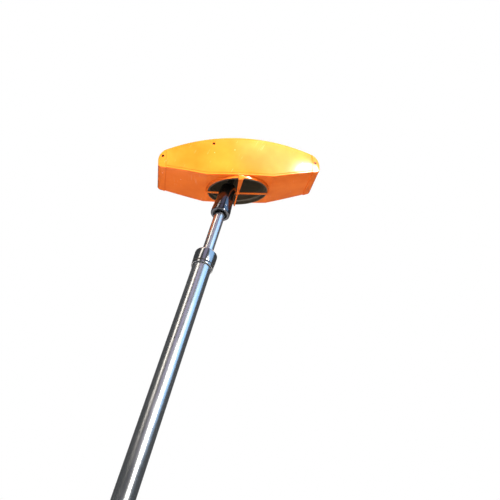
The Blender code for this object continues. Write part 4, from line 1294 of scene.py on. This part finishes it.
@dataclass
class Studio:
    """The camera, the lights, the pale floor and the pale surroundings."""

    camera_at: Place = (0.0713, -0.7428, 0.0319)
    pitch: float = 131.08
    roll: float = -12.35
    yaw: float = -9.05
    lens: float = 54.0
    sensor: float = 36.0
    floor_half: float = 3.0
    softboxes: tuple[Softbox, ...] = (
        Softbox("key_front", 14, 18, 1.5, 0.7, 0.7, 12, "FFEEDC", (0.0, 0.0, 0.8),
                mirrored=False, cone=60.0),
        Softbox("glint", 27, 12, 1.5, 0.34, 0.26, 30, "FFF8EC", (0.1, 0.0, 0.79)),
        Softbox("cream_strip", -52, 45, 1.5, 0.3, 1.3, 4.4, "FFF3E0"),
        Softbox("mauve_panel", -10, 45, 1.5, 0.6, 1.3, 2.4, "B9ADC9"),
        Softbox("sky_panel", 56, 45, 1.5, 1.15, 1.3, 9, "9FD2FF"),
        Softbox("top_panel", 180, 74, 1.3, 1.0, 1.0, 14, "FFFFFF", (0.0, 0.0, 0.8)),
        Softbox("rear_panel_light", 170, 20, 1.9, 1.2, 1.0, 22, "FFF8EE", mirrored=False),
        Softbox("floor_bounce", 20, -70, 0.72, 1.1, 1.1, 1.5, "FFF3E6", (0.0, 0.0, 0.75),
                mirrored=False),
    )

    def build(self) -> None:
        """Sets everything up."""
        for box in self.softboxes:
            box.hang()
        self.camera()
        self.floor()
        self.surroundings()
        bpy.context.scene.view_settings.view_transform = "Standard"

    def camera(self) -> None:
        """Places the camera, low down and looking up at the head."""
        bpy.ops.object.camera_add(location=self.camera_at)
        camera = bpy.context.object
        turn = (math.radians(self.pitch), math.radians(self.roll), math.radians(self.yaw))
        camera.rotation_euler = turn
        camera.data.lens = self.lens
        camera.data.sensor_width = self.sensor
        camera.data.clip_start, camera.data.clip_end = 0.01, 50.0
        bpy.context.scene.camera = camera

    def floor(self) -> None:
        """Lays the flat floor, whose edges lie far from the pole."""
        bpy.ops.object.select_all(action="DESELECT")
        bpy.ops.mesh.primitive_plane_add(size=2 * self.floor_half, location=(0, 0, 0))
        floor = bpy.context.object
        floor.name = "floor"
        graph = Graph("pale_floor")
        tone = graph.between(graph.noise(120.0), 0.3, 0.7)
        graph.colour(graph.mixed(tone, linear("E6E5E1"), linear("ECEBE8")))
        graph.shader.inputs["Roughness"].default_value = 0.85
        floor.data.materials.append(graph.material)

    def surroundings(self) -> None:
        """Makes the backdrop white to the camera and dim grey to everything that reflects it."""
        world = bpy.data.worlds.new("surroundings")
        world.use_nodes = True
        bpy.context.scene.world = world
        tree = world.node_tree
        seen, dim = tree.nodes["Background"], tree.nodes.new("ShaderNodeBackground")
        seen.inputs["Color"].default_value = (1.0, 1.0, 1.0, 1.0)
        dim.inputs["Color"].default_value = linear("5B5C5C")
        path, mix = tree.nodes.new("ShaderNodeLightPath"), tree.nodes.new("ShaderNodeMixShader")
        tree.links.new(path.outputs["Is Camera Ray"], mix.inputs[0])
        tree.links.new(dim.outputs[0], mix.inputs[1])
        tree.links.new(seen.outputs[0], mix.inputs[2])
        tree.links.new(mix.outputs[0], tree.nodes["World Output"].inputs["Surface"])


def main() -> None:
    """Loads the frame, builds each sub-assembly over it, then the studio."""
    logging.basicConfig(level=logging.INFO, format="%(message)s")
    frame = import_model()
    shape = HeadShape()
    shop = Workshop(frame["nodes"])
    parts = (Case(shape, shop), Opening(shape, shop), TiltJoint(shape, shop), RearFittings(shape, shop),
             Collar(shop), Pole(shop), Level(shop), Insides(shop))
    for part in parts:
        part.build()
        LOG.info("built %s", type(part).__name__)
    Studio().build()


if __name__ == "__main__":
    main()
